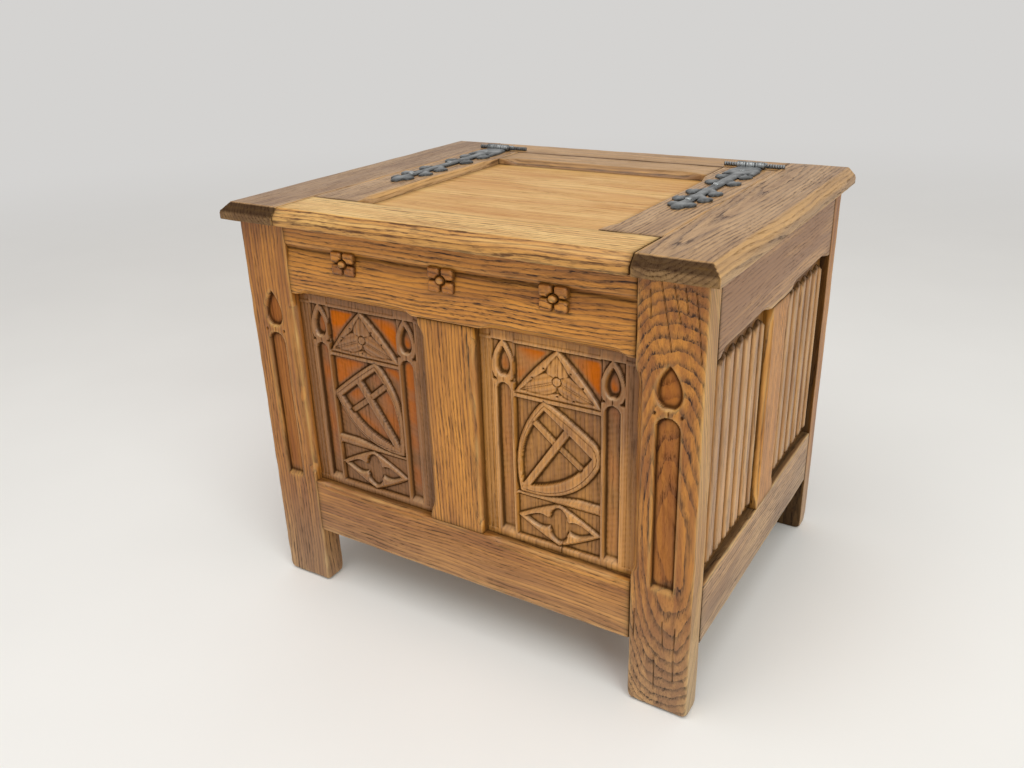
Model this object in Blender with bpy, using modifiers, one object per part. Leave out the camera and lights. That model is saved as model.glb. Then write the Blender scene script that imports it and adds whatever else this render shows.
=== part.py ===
"""Carved oak chest: a framed and panelled box on four legs, with a framed lid on two strap hinges.

Metres, +Z up. X runs along the front, Y from front to back.
The origin is on the floor, under the middle of the top.
"""
import math
from collections import namedtuple

import bmesh
import bpy
from mathutils import Matrix, Vector

# Top: two end boards and a back board that are fixed, with the lid between them
TOP_WIDTH = 0.618
TOP_DEPTH = 0.490
HEIGHT = 0.520
TOP_THICKNESS = 0.020
TOP_CHAMFER = 0.0105
SIDE_OVERHANG = 0.014
FRONT_OVERHANG = 0.0165
BACK_OVERHANG = 0.0055
BACK_BOARD_WIDTH = 0.058
TOP_TONGUE = 0.010
TOP_TONGUE_THICKNESS = 0.006

# Legs, rails and muntins
LEG_WIDTH = 0.070
LEG_THICKNESS = 0.030
FOOT_ROUNDING = 0.008
FOOT_HEIGHT = 0.084
BOTTOM_RAIL_HEIGHT = 0.074
TOP_RAIL_HEIGHT = 0.085
RAIL_THICKNESS = 0.026
FRONT_MUNTIN_WIDTH = 0.073
SIDE_MUNTIN_WIDTH = 0.060
TENON_LENGTH = 0.018
TENON_THICKNESS = 0.010
TENON_SETBACK = 0.008
TENON_SHOULDER = 0.010
MUNTIN_TENON_LENGTH = 0.012
EDGE_CHAMFER = 0.008
CHAMFER_STOP = 0.022

# Panels in their grooves
PANEL_THICKNESS = 0.010
PANEL_SETBACK = 0.011
GROOVE_DEPTH = 0.008

# Hollow along the front top rail, with carved rosettes in it
HOLLOW_TOP = 0.022
HOLLOW_HEIGHT = 0.030
HOLLOW_DEPTH = 0.006
# Section of the hollow, downwards from its arris, as shares of its depth and height
HOLLOW_SECTION = ((1.0, 0.05), (0.8, 0.3), (0.4, 0.65), (0.0, 1.0))
ROSETTE_SPACING = 0.136
ROSETTE_RADIUS = 0.0165
ROSETTE_PROUD = 0.002
ROSETTE_RISE = 0.047

# Tracery cut into the front panels and the front legs
RELIEF = 0.005
FIELD_WIDTH = 0.105
FIELD_FOOT_MARGIN = 0.008
FIELD_HEAD_MARGIN = 0.014
LANCET_WIDTH = 0.019
LANCET_OFFSET = 0.065
TEARDROP_HEIGHT = 0.042
TEARDROP_GAP = 0.008
LEG_LANCET_WIDTH = 0.027
LEG_TEARDROP_HEIGHT = 0.050
MOTIF_SETBACK = 0.0012
GABLE_HEIGHT = 0.060
SHIELD_TILT = 0.045
SHIELD_HEIGHT = 0.120
SHIELD_CORNER_OFFSET = 0.018
SHIELD_POINT_INSET = 0.005
SHIELD_BULGE = 0.016
SHIELD_BAR_WIDTH = 0.008
CROSS_SHARE = 0.33
CROSS_ARM_SHARE = 0.42
LOZENGE_HEIGHT = 0.051
MOTIF_GAP = 0.001
MOTIF_OVERLAP = 0.0015
RIM_SHARE = 0.80

# Linenfold on the side panels
FOLD_PITCH = 0.029
FOLD_RISE = 0.0055
FOLD_MARGIN = 0.006
FOLD_END_MARGIN = 0.010
# Section of one fold, as shares of its pitch and rise
FOLD_SECTION = ((0.06, 0.25), (0.16, 0.45), (0.34, 0.45), (0.40, 0.85), (0.50, 1.0),
                (0.60, 0.85), (0.66, 0.45), (0.84, 0.45), (0.94, 0.25))

# Floor of the chest
FLOOR_THICKNESS = 0.012
FLOOR_BOARDS = 3
CLEAT_SIZE = 0.018
CLEAT_RISE = 0.006

# Lid frame and panel
LID_GAP = 0.0012
LID_FRONT_RAIL_WIDTH = 0.0715
LID_BACK_RAIL_WIDTH = 0.0555
LID_STILE_WIDTH = 0.068
LID_TENON_LENGTH = 0.020
LID_TENON_THICKNESS = 0.007
LID_TENON_SETBACK = 0.0072
LID_TENON_SHOULDER = 0.012
LID_PANEL_SETBACK = 0.008
LID_PANEL_THICKNESS = 0.008
LID_CHAMFER = 0.0075

# Strap hinges
HINGE_INSET = 0.0328
IRON_THICKNESS = 0.003
BARREL_RADIUS = 0.0045
PIN_RADIUS = 0.002
PIN_HEAD_RADIUS = 0.0032
PIN_HEAD_LENGTH = 0.0015
KNUCKLE_LENGTH = 0.012
STRAP_LENGTH = 0.240
STRAP_STEM = 0.006
STRAP_LOBE = 0.013
STRAP_LOBES = 5
PLATE_SPAN = 0.079
PLATE_DEPTH = 0.030
PLATE_ARM = 0.007
STRAP_SCREW_PLACES = (0.034, 0.124, 0.210)
PLATE_SCREW_OFFSET = 0.013

# Round-headed wood screws
SCREW_RADIUS = 0.0018
SCREW_LENGTH = 0.013
SCREW_HEAD_RADIUS = 0.0038
SCREW_HEAD_HEIGHT = 0.0018
ROUND_SIDES = 12

# Room that touching pieces keep
CLEARANCE = 0.0003
# How far a cutting or joining shape runs past the face it meets
OVERCUT = 0.002

# Faces and lines that several pieces share
SIDE = TOP_WIDTH / 2 - SIDE_OVERHANG
FRONT = -TOP_DEPTH / 2 + FRONT_OVERHANG
BACK = TOP_DEPTH / 2 - BACK_OVERHANG
LEG_INNER = SIDE - LEG_WIDTH
UNDER_TOP = HEIGHT - TOP_THICKNESS
FRAME_TOP = UNDER_TOP - CLEARANCE
OPENING_LOW = FOOT_HEIGHT + BOTTOM_RAIL_HEIGHT
OPENING_HIGH = UNDER_TOP - TOP_RAIL_HEIGHT
FIELD_HEIGHT = OPENING_HIGH - OPENING_LOW - FIELD_FOOT_MARGIN - FIELD_HEAD_MARGIN
BACK_BOARD_FRONT = TOP_DEPTH / 2 - BACK_BOARD_WIDTH
LID_HALF_WIDTH = LEG_INNER - LID_GAP
LID_FRONT = -TOP_DEPTH / 2
LID_BACK = BACK_BOARD_FRONT - LID_GAP
HINGE_X = LID_HALF_WIDTH - HINGE_INSET
HINGE_Y = BACK_BOARD_FRONT - LID_GAP / 2
HINGE_Z = HEIGHT + CLEARANCE + BARREL_RADIUS
HINGE_AXIS = Vector((0.0, HINGE_Y, HINGE_Z))
LEFT_AND_RIGHT = (("left", -1), ("right", 1))

# A framed wall of the chest: along is the axis (0 for X, 1 for Y) that its rails follow,
# face is its outer face on the other axis, and inward says which way the chest lies.
Wall = namedtuple("Wall", "name along face inward start end muntin_width")
WALLS = (
    Wall("front", 0, FRONT, 1, -LEG_INNER, LEG_INNER, FRONT_MUNTIN_WIDTH),
    Wall("back", 0, BACK, -1, -LEG_INNER, LEG_INNER, FRONT_MUNTIN_WIDTH),
    Wall("left", 1, -SIDE, 1, FRONT + LEG_THICKNESS, BACK - LEG_THICKNESS, SIDE_MUNTIN_WIDTH),
    Wall("right", 1, SIDE, -1, FRONT + LEG_THICKNESS, BACK - LEG_THICKNESS, SIDE_MUNTIN_WIDTH),
)


# Scene, collections and materials

def start_collection(name):
    collection = bpy.data.collections.new(name)
    bpy.context.scene.collection.children.link(collection)
    return collection


def oak_or_iron(name, colour, roughness, metallic=0.0):
    """A plain Principled material; the colour is linear."""
    material = bpy.data.materials.new(name)
    material.use_nodes = True
    shader = material.node_tree.nodes["Principled BSDF"]
    shader.inputs["Base Color"].default_value = (*colour, 1.0)
    shader.inputs["Roughness"].default_value = roughness
    shader.inputs["Metallic"].default_value = metallic
    material.diffuse_color = (*colour, 1.0)
    return material


for leftover in list(bpy.data.objects):
    bpy.data.objects.remove(leftover, do_unlink=True)

PARTS = start_collection("blanket_chest")
CUTTERS = start_collection("chest_cutters")
FINISHES = {
    "frame_oak": oak_or_iron("frame_oak", (0.24, 0.105, 0.032), 0.50),
    "carved_oak": oak_or_iron("carved_oak", (0.19, 0.080, 0.025), 0.55),
    "top_oak": oak_or_iron("top_oak", (0.23, 0.115, 0.050), 0.45),
    "lid_oak": oak_or_iron("lid_oak", (0.42, 0.200, 0.060), 0.45),
    "inner_oak": oak_or_iron("inner_oak", (0.33, 0.190, 0.085), 0.70),
    "black_iron": oak_or_iron("black_iron", (0.040, 0.042, 0.045), 0.55, 0.85),
}


# Shapes

def box_shape(corner, opposite):
    """A box between two opposite corners: its mesh round its own middle, and that middle."""
    size = Vector(abs(b - a) for a, b in zip(corner, opposite))
    shape = bmesh.new()
    bmesh.ops.create_cube(shape, size=1.0, matrix=Matrix.Diagonal((*size, 1.0)))
    mesh = bpy.data.meshes.new("box")
    shape.to_mesh(mesh)
    shape.free()
    return mesh, (Vector(corner) + Vector(opposite)) / 2


def edge_shape(start, end, size):
    """A square bar on its corner, which takes a chamfer of the given size off a straight edge."""
    run = Vector(end) - Vector(start)
    axis = max(range(3), key=lambda i: abs(run[i]))
    section = [size * math.sqrt(2)] * 3
    section[axis] = run.length
    turn = Matrix.Rotation(math.radians(45), 4, "XYZ"[axis])
    shape = bmesh.new()
    bmesh.ops.create_cube(shape, size=1.0, matrix=turn @ Matrix.Diagonal((*section, 1.0)))
    mesh = bpy.data.meshes.new("edge")
    shape.to_mesh(mesh)
    shape.free()
    return mesh, (Vector(start) + Vector(end)) / 2


def rod_shape(middle, axis, radius, length):
    """A round bar along one axis."""
    turn = {"X": Matrix.Rotation(math.radians(90), 4, "Y"), "Z": Matrix.Identity(4)}[axis]
    shape = bmesh.new()
    bmesh.ops.create_cone(shape, cap_ends=True, segments=ROUND_SIDES, radius1=radius, radius2=radius,
                          depth=length, matrix=turn)
    mesh = bpy.data.meshes.new("rod")
    shape.to_mesh(mesh)
    shape.free()
    return mesh, Vector(middle)


def outline_shape(loops, thickness, across, up, out, place):
    """A flat outline, holes included, grown from 0 to its thickness.

    across, up and out are the unit vectors of the outline's own axes and of its thickness,
    and place is the outline's own zero.
    """
    curve = bpy.data.curves.new("outline", "CURVE")
    curve.dimensions = "2D"
    curve.fill_mode = "BOTH"
    curve.extrude = thickness / 2
    for loop in loops:
        spline = curve.splines.new("POLY")
        spline.points.add(len(loop) - 1)
        for point, (u, v) in zip(spline.points, loop):
            point.co = (u, v, 0.0, 1.0)
        spline.use_cyclic_u = True
    drawn = bpy.data.objects.new("outline", curve)
    bpy.context.scene.collection.objects.link(drawn)
    evaluated = drawn.evaluated_get(bpy.context.evaluated_depsgraph_get())
    mesh = bpy.data.meshes.new_from_object(evaluated)
    bpy.data.objects.remove(drawn)
    axes = Matrix((across, up, out)).transposed()
    shape = bmesh.new()
    shape.from_mesh(mesh)
    bmesh.ops.remove_doubles(shape, verts=shape.verts, dist=1e-6)
    bmesh.ops.translate(shape, verts=shape.verts, vec=(0.0, 0.0, thickness / 2))
    bmesh.ops.transform(shape, verts=shape.verts, matrix=axes.to_4x4())
    bmesh.ops.recalc_face_normals(shape, faces=shape.faces)
    shape.to_mesh(mesh)
    shape.free()
    return mesh, Vector(place)


def bevel_edges(shaped, size, segments, wanted):
    """Bevels the edges of a box that the test picks, before any other cut."""
    mesh, middle = shaped
    shape = bmesh.new()
    shape.from_mesh(mesh)
    edges = [edge for edge in shape.edges if wanted(edge)]
    bmesh.ops.bevel(shape, geom=edges, offset=size, segments=segments, profile=0.5, affect="EDGES")
    shape.to_mesh(mesh)
    shape.free()
    return mesh, middle


def add_part(name, shaped, finish):
    mesh, place = shaped
    mesh.name = name
    mesh.materials.append(FINISHES[finish])
    part = bpy.data.objects.new(name, mesh)
    part.location = place
    PARTS.objects.link(part)
    return part


def apply_shape(part, shaped, operation):
    """Joins a shape to a part or cuts it away; the shape stays as a wire object that follows the part."""
    mesh, place = shaped
    tool = bpy.data.objects.new(f"{part.name}_{operation.lower()}_{len(part.modifiers) + 1}", mesh)
    tool.location = place - part.location
    tool.parent = part
    tool.hide_render = True
    tool.display_type = "WIRE"
    CUTTERS.objects.link(tool)
    boolean = part.modifiers.new(tool.name, "BOOLEAN")
    boolean.operation = operation
    boolean.object = tool


def cut(part, shaped):
    apply_shape(part, shaped, "DIFFERENCE")


def join(part, shaped):
    apply_shape(part, shaped, "UNION")


def grown(span, amount):
    low, high = sorted(span)
    return low - amount, high + amount


# Framed walls

def wall_corner(wall, along, depth, height):
    corner = Vector((0.0, 0.0, height))
    corner[wall.along] = along
    corner[1 - wall.along] = wall.face + wall.inward * depth
    return corner


def wall_box(wall, along, depth, height):
    """A box given by its spans along the wall, in from its outer face, and in height."""
    first = wall_corner(wall, along[0], depth[0], height[0])
    return box_shape(first, wall_corner(wall, along[1], depth[1], height[1]))


def wall_outline(wall, loops, thickness, along, depth, height):
    """An outline drawn on the wall's face, standing out of it from the given depth."""
    across = Vector((0.0, 0.0, 0.0))
    across[wall.along] = 1.0
    out = Vector((0.0, 0.0, 0.0))
    out[1 - wall.along] = -wall.inward
    place = wall_corner(wall, along, depth, height)
    return outline_shape(loops, thickness, across, Vector((0, 0, 1)), out, place)


def wall_edge(wall, start, end, size):
    """A chamfer along an edge of the wall's outer face, between two (along, height) points."""
    first = wall_corner(wall, start[0], 0.0, start[1])
    return edge_shape(first, wall_corner(wall, end[0], 0.0, end[1]), size)


TENON_DEPTHS = (TENON_SETBACK, TENON_SETBACK + TENON_THICKNESS)
GROOVE_DEPTHS = (PANEL_SETBACK - CLEARANCE, PANEL_SETBACK + PANEL_THICKNESS + CLEARANCE)
TOP_TENON_HEIGHTS = (OPENING_HIGH + TENON_SHOULDER, FRAME_TOP - TENON_SHOULDER)
BOTTOM_TENON_HEIGHTS = (FOOT_HEIGHT + TENON_SHOULDER, OPENING_LOW - TENON_SHOULDER)


def wall_middle(wall):
    return (wall.start + wall.end) / 2


def muntin_tenon_span(wall):
    half = wall.muntin_width / 2 - TENON_SHOULDER
    return wall_middle(wall) - half, wall_middle(wall) + half


def wall_openings(wall):
    """The two panel openings of a wall, as spans along it."""
    half = wall.muntin_width / 2
    return (wall.start, wall_middle(wall) - half), (wall_middle(wall) + half, wall.end)


def add_rail(wall, name, heights, tenon_heights, panel_edge, into_rail):
    """A rail with a tenon at each end, a groove for the panels and a mortise for the muntin.

    panel_edge is the height of the edge that meets the panels, and into_rail the way into the wood from it.
    """
    ends = (wall.start + CLEARANCE, wall.end - CLEARANCE)
    rail = add_part(name, wall_box(wall, ends, (0.0, RAIL_THICKNESS), heights), "frame_oak")
    for end, outward in zip(ends, (-1, 1)):
        tenon = (end - outward * OVERCUT, end + outward * (TENON_LENGTH - CLEARANCE))
        join(rail, wall_box(wall, tenon, TENON_DEPTHS, tenon_heights))
    groove = (panel_edge - into_rail * OVERCUT, panel_edge + into_rail * GROOVE_DEPTH)
    cut(rail, wall_box(wall, grown(ends, OVERCUT), GROOVE_DEPTHS, groove))
    mortise = (panel_edge - into_rail * OVERCUT, panel_edge + into_rail * (MUNTIN_TENON_LENGTH + CLEARANCE))
    mortise_span = grown(muntin_tenon_span(wall), CLEARANCE)
    cut(rail, wall_box(wall, mortise_span, grown(TENON_DEPTHS, CLEARANCE), mortise))
    return rail


def add_wall_frame(wall):
    """The two rails and the muntin of a wall, with stopped chamfers round the panels where they show."""
    top_heights = (OPENING_HIGH, FRAME_TOP)
    top = add_rail(wall, f"{wall.name}_top_rail", top_heights, TOP_TENON_HEIGHTS, OPENING_HIGH, 1)
    bottom_heights = (FOOT_HEIGHT, OPENING_LOW)
    bottom = add_rail(wall, f"{wall.name}_bottom_rail", bottom_heights, BOTTOM_TENON_HEIGHTS, OPENING_LOW, -1)

    half = wall.muntin_width / 2
    middle = wall_middle(wall)
    heights = (OPENING_LOW + CLEARANCE, OPENING_HIGH - CLEARANCE)
    span = (middle - half, middle + half)
    shaft = wall_box(wall, span, (0.0, RAIL_THICKNESS), heights)
    muntin = add_part(f"{wall.name}_muntin", shaft, "frame_oak")
    for end, outward in zip(heights, (-1, 1)):
        tenon = (end - outward * OVERCUT, end + outward * (MUNTIN_TENON_LENGTH - CLEARANCE))
        join(muntin, wall_box(wall, muntin_tenon_span(wall), TENON_DEPTHS, tenon))
    for outward in (-1, 1):
        edge = middle + outward * half
        groove = (edge + outward * OVERCUT, edge - outward * GROOVE_DEPTH)
        cut(muntin, wall_box(wall, groove, GROOVE_DEPTHS, grown(heights, OVERCUT)))
        if wall.name != "back":
            cut(muntin, wall_edge(wall, (edge, heights[0] + CHAMFER_STOP), (edge, heights[1] - CHAMFER_STOP),
                                  EDGE_CHAMFER))
    if wall.name != "back":
        for low, high in wall_openings(wall):
            run = (low + CHAMFER_STOP, high - CHAMFER_STOP)
            cut(top, wall_edge(wall, (run[0], OPENING_HIGH), (run[1], OPENING_HIGH), EDGE_CHAMFER))
            cut(bottom, wall_edge(wall, (run[0], OPENING_LOW), (run[1], OPENING_LOW), EDGE_CHAMFER))
    return top


def panel_box(wall, opening):
    """A panel with its edges in the grooves round it, clear of their bottoms."""
    tongue = GROOVE_DEPTH - 2 * CLEARANCE
    depths = (PANEL_SETBACK, PANEL_SETBACK + PANEL_THICKNESS)
    return wall_box(wall, grown(opening, tongue), depths, grown((OPENING_LOW, OPENING_HIGH), tongue))


# Outlines for the carving

def arc_points(start, end, bulge, count):
    """Points from start up to but not including end, on a circle that bows out to the right by bulge."""
    start = Vector(start)
    end = Vector(end)
    chord = end - start
    half = chord.length / 2
    radius = (half * half + bulge * bulge) / (2 * bulge)
    right = Vector((chord.y, -chord.x)).normalized()
    centre = (start + end) / 2 - right * (radius - bulge)
    sweep = 2 * math.asin(half / radius)
    first = math.atan2(start.y - centre.y, start.x - centre.x)
    angles = [first + sweep * step / count for step in range(count)]
    return [(centre.x + radius * math.cos(angle), centre.y + radius * math.sin(angle)) for angle in angles]


def shrunk(loop, share):
    """The loop drawn in towards the middle of its points."""
    middle_u = sum(u for u, v in loop) / len(loop)
    middle_v = sum(v for u, v in loop) / len(loop)
    return [(middle_u + share * (u - middle_u), middle_v + share * (v - middle_v)) for u, v in loop]


def teardrop_loop(width, height):
    """A pointed arch that closes in a round below; its lowest point is the origin."""
    half = width / 2
    round_part = [(half * math.sin(angle), half - half * math.cos(angle))
                  for angle in (math.radians(30 * step) for step in range(-3, 4))]
    bulge = half / 5
    rising = arc_points((half, half), (0.0, height), bulge, 3)[1:]
    return round_part + rising + [(0.0, height)] + [(-u, v) for u, v in reversed(rising)]


def slot_loop(width, height):
    """An upright slot with a round head; its foot is centred on the origin."""
    half = width / 2
    head = [(half * math.cos(angle), height - half + half * math.sin(angle))
            for angle in (math.radians(30 * step) for step in range(7))]
    return [(-half, 0.0), (half, 0.0)] + head


def rosette_loop(radius):
    """Four round petals."""
    points = []
    for step in range(24):
        angle = math.radians(15 * step)
        reach = radius * (0.72 + 0.28 * abs(math.cos(2 * angle + math.radians(90))))
        points.append((reach * math.cos(angle), reach * math.sin(angle)))
    return points


def cut_lancet(part, wall, middle, depth, low, high, width, drop_height):
    """A tall sunk slot with a pointed teardrop over it."""
    slot_height = high - low - drop_height - TEARDROP_GAP
    drop_low = low + slot_height + TEARDROP_GAP
    reach = RELIEF + OVERCUT
    cut(part, wall_outline(wall, [slot_loop(width, slot_height)], reach, middle, depth + RELIEF, low))
    drop = teardrop_loop(width, drop_height)
    cut(part, wall_outline(wall, [drop], reach, middle, depth + RELIEF, drop_low))


def bar_loop(start, end, width):
    """A straight bar between two points."""
    start = Vector(start)
    end = Vector(end)
    across = Vector((start.y - end.y, end.x - start.x)).normalized() * width / 2
    return [tuple(start + across), tuple(start - across), tuple(end - across), tuple(end + across)]


def motif_loops():
    """The raised forms of the right panel, each a list of loops, from the foot of the field's middle line.

    A gable stands at the top, a tilted shield with a cross below it, and a lozenge at the foot.
    """
    reach = FIELD_WIDTH / 2 + MOTIF_OVERLAP
    gable_low = FIELD_HEIGHT - GABLE_HEIGHT
    gable = [(-reach, gable_low), (reach, gable_low), (0.0, FIELD_HEIGHT + MOTIF_OVERLAP)]
    shield_top = gable_low - MOTIF_GAP
    high_corner = Vector((-SHIELD_CORNER_OFFSET, shield_top))
    side_corner = Vector((reach, shield_top - SHIELD_TILT))
    point = Vector((-FIELD_WIDTH / 2 + SHIELD_POINT_INSET, shield_top - SHIELD_HEIGHT))
    shield = arc_points(high_corner, point, SHIELD_BULGE, 6)
    shield += arc_points(point, side_corner, SHIELD_BULGE, 6)
    shield.append(tuple(side_corner))
    top_middle = (high_corner + side_corner) / 2
    crossing = top_middle.lerp(point, CROSS_SHARE)
    arm = (side_corner - high_corner) * CROSS_ARM_SHARE
    lozenge = [(-reach, LOZENGE_HEIGHT / 2), (0.0, -MOTIF_OVERLAP),
               (reach, LOZENGE_HEIGHT / 2), (0.0, LOZENGE_HEIGHT)]
    return (
        [gable, shrunk(gable, RIM_SHARE)],
        [shield, shrunk(shield, RIM_SHARE)],
        [bar_loop(top_middle, point, SHIELD_BAR_WIDTH)],
        [bar_loop(crossing - arm, crossing + arm, SHIELD_BAR_WIDTH)],
        [lozenge, shrunk(lozenge, RIM_SHARE)],
    )


def fold_loop(width):
    """Section of a linenfold: rounded folds side by side, with the back of the cloth at zero."""
    count = max(1, round(width / FOLD_PITCH))
    points = [(0.0, -OVERCUT)]
    for fold in range(count):
        for place, rise in FOLD_SECTION:
            points.append(((fold + place) * width / count, rise * FOLD_RISE))
    points.append((width, -OVERCUT))
    return points


# Pieces

def add_legs():
    for wall in WALLS[:2]:
        for word, side in LEFT_AND_RIGHT:
            outer = side * SIDE
            shaped = wall_box(wall, (outer, side * LEG_INNER), (0.0, LEG_THICKNESS), (0.0, FRAME_TOP))
            foot = min(vertex.co.z for vertex in shaped[0].vertices)
            shaped = bevel_edges(shaped, FOOT_ROUNDING, 2,
                                 lambda edge: all(vertex.co.z == foot for vertex in edge.verts))
            leg = add_part(f"{wall.name}_{word}_leg", shaped, "frame_oak")
            side_wall = WALLS[2] if side < 0 else WALLS[3]
            cut_leg_joints(leg, wall, side * LEG_INNER, side)
            if wall.name == "front":
                cut_leg_joints(leg, side_wall, side_wall.start, -1)
                inner_edge = side * LEG_INNER
                cut(leg, wall_edge(wall, (inner_edge, OPENING_LOW + CHAMFER_STOP),
                                   (inner_edge, OPENING_HIGH - CHAMFER_STOP), EDGE_CHAMFER))
                cut_lancet(leg, wall, side * (SIDE - LEG_WIDTH / 2), 0.0, OPENING_LOW, OPENING_HIGH,
                           LEG_LANCET_WIDTH, LEG_TEARDROP_HEIGHT)
            else:
                cut_leg_joints(leg, side_wall, side_wall.end, 1)


def cut_leg_joints(leg, wall, face, into_leg):
    """The mortises for a wall's two rails and the groove for its panel, in the leg's face that meets them."""
    mouth = face - into_leg * OVERCUT
    for heights in (TOP_TENON_HEIGHTS, BOTTOM_TENON_HEIGHTS):
        cut(leg, wall_box(wall, (mouth, face + into_leg * (TENON_LENGTH + CLEARANCE)),
                          grown(TENON_DEPTHS, CLEARANCE), grown(heights, CLEARANCE)))
    cut(leg, wall_box(wall, (mouth, face + into_leg * GROOVE_DEPTH), GROOVE_DEPTHS,
                      grown((OPENING_LOW, OPENING_HIGH), GROOVE_DEPTH)))


def carve_front_rail(rail):
    """A hollow along the rail, deep under its upper arris, with rosettes standing in it."""
    top = UNDER_TOP - HOLLOW_TOP
    hollow = [(-OVERCUT, 0.0)]
    hollow += [(depth * HOLLOW_DEPTH, -drop * HOLLOW_HEIGHT) for depth, drop in HOLLOW_SECTION]
    hollow.append((-OVERCUT, -HOLLOW_HEIGHT))
    start = Vector((-LEG_INNER - OVERCUT, FRONT, top))
    length = 2 * (LEG_INNER + OVERCUT)
    cut(rail, outline_shape([hollow], length, Vector((0, 1, 0)), Vector((0, 0, 1)), Vector((1, 0, 0)), start))
    for step in (-1, 0, 1):
        place = step * ROSETTE_SPACING
        thickness = HOLLOW_DEPTH + ROSETTE_PROUD
        join(rail, wall_outline(WALLS[0], [rosette_loop(ROSETTE_RADIUS)], thickness, place, HOLLOW_DEPTH,
                                OPENING_HIGH + ROSETTE_RISE))


def add_front_panels():
    wall = WALLS[0]
    for (word, side), opening in zip(LEFT_AND_RIGHT, wall_openings(wall)):
        panel = add_part(f"front_{word}_panel", panel_box(wall, opening), "carved_oak")
        middle = sum(opening) / 2
        low = OPENING_LOW + FIELD_FOOT_MARGIN
        field = (middle - FIELD_WIDTH / 2, middle + FIELD_WIDTH / 2)
        ground = PANEL_SETBACK + RELIEF
        cut(panel, wall_box(wall, field, (PANEL_SETBACK - OVERCUT, ground), (low, low + FIELD_HEIGHT)))
        for offset in (-LANCET_OFFSET, LANCET_OFFSET):
            cut_lancet(panel, wall, middle + offset, PANEL_SETBACK, low, low + FIELD_HEIGHT,
                       LANCET_WIDTH, TEARDROP_HEIGHT)
        root = ground + OVERCUT
        for loops in motif_loops():
            turned = [[(side * u, v) for u, v in loop] for loop in loops]
            join(panel, wall_outline(wall, turned, root - PANEL_SETBACK - MOTIF_SETBACK, middle, root, low))


def add_side_panels():
    for wall in WALLS[2:]:
        for word, opening in zip(("front", "rear"), wall_openings(wall)):
            panel = add_part(f"{wall.name}_{word}_panel", panel_box(wall, opening), "carved_oak")
            low, high = grown(opening, -FOLD_MARGIN)
            foot = OPENING_LOW + FOLD_END_MARGIN
            out = Vector((-wall.inward, 0, 0))
            join(panel, outline_shape([fold_loop(high - low)], OPENING_HIGH - FOLD_END_MARGIN - foot,
                                      Vector((0, 1, 0)), out, Vector((0, 0, 1)),
                                      wall_corner(wall, low, PANEL_SETBACK, foot)))


def add_back_panels():
    wall = WALLS[1]
    for (word, side), opening in zip(LEFT_AND_RIGHT, wall_openings(wall)):
        add_part(f"back_{word}_panel", panel_box(wall, opening), "inner_oak")


def add_floor():
    """Three boards on two cleats that are fixed inside the bottom rails of the sides."""
    inner = SIDE - RAIL_THICKNESS - CLEARANCE
    low = FOOT_HEIGHT + CLEAT_RISE
    ends = (FRONT + LEG_THICKNESS + CLEARANCE, BACK - LEG_THICKNESS - CLEARANCE)
    for word, side in LEFT_AND_RIGHT:
        cleat = box_shape((side * inner, ends[0], low),
                          (side * (inner - CLEAT_SIZE), ends[1], low + CLEAT_SIZE))
        add_part(f"{word}_floor_cleat", cleat, "inner_oak")
    pitch = (ends[1] - ends[0] + CLEARANCE) / FLOOR_BOARDS
    rest = low + CLEAT_SIZE + CLEARANCE
    for number in range(FLOOR_BOARDS):
        front = ends[0] + number * pitch
        board = box_shape((-inner, front, rest), (inner, front + pitch - CLEARANCE, rest + FLOOR_THICKNESS))
        add_part(f"floor_board_{number + 1}", board, "inner_oak")


def chamfered_board(name, corner, opposite, finish, sides):
    """A board with the top's chamfer on its upper edges on the given sides, as (axis, way) pairs."""
    shaped = box_shape(corner, opposite)
    limits = [max(vertex.co[axis] for vertex in shaped[0].vertices) for axis in range(3)]

    def on_edge(edge):
        upper = all(vertex.co.z == limits[2] for vertex in edge.verts)
        return upper and any(all(vertex.co[axis] == way * limits[axis] for vertex in edge.verts)
                             for axis, way in sides)

    return add_part(name, bevel_edges(shaped, TOP_CHAMFER, 1, on_edge), finish)


def add_fixed_top():
    tongue_middle = HEIGHT - TOP_THICKNESS / 2
    tongue_heights = (tongue_middle - TOP_TONGUE_THICKNESS / 2, tongue_middle + TOP_TONGUE_THICKNESS / 2)
    tongue_span = (BACK_BOARD_FRONT + TENON_SHOULDER, TOP_DEPTH / 2 - TENON_SHOULDER)
    back_end = LEG_INNER - CLEARANCE
    back = add_part("top_back_board", box_shape((-back_end, BACK_BOARD_FRONT, UNDER_TOP),
                                                (back_end, TOP_DEPTH / 2, HEIGHT)), "top_oak")
    for word, side in LEFT_AND_RIGHT:
        tongue_end = side * (LEG_INNER + TOP_TONGUE - CLEARANCE)
        join(back, box_shape((side * (back_end - OVERCUT), tongue_span[0], tongue_heights[0]),
                             (tongue_end, tongue_span[1], tongue_heights[1])))
        outer_corner = (side * TOP_WIDTH / 2, TOP_DEPTH / 2, HEIGHT)
        board = chamfered_board(f"top_{word}_end_board", (side * LEG_INNER, -TOP_DEPTH / 2, UNDER_TOP),
                                outer_corner, "top_oak", ((1, -1), (0, side)))
        groove = grown(tongue_span, CLEARANCE)
        heights = grown(tongue_heights, CLEARANCE)
        cut(board, box_shape((side * (LEG_INNER - OVERCUT), groove[0], heights[0]),
                             (side * (LEG_INNER + TOP_TONGUE + CLEARANCE), groove[1], heights[1])))
    return back


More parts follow.
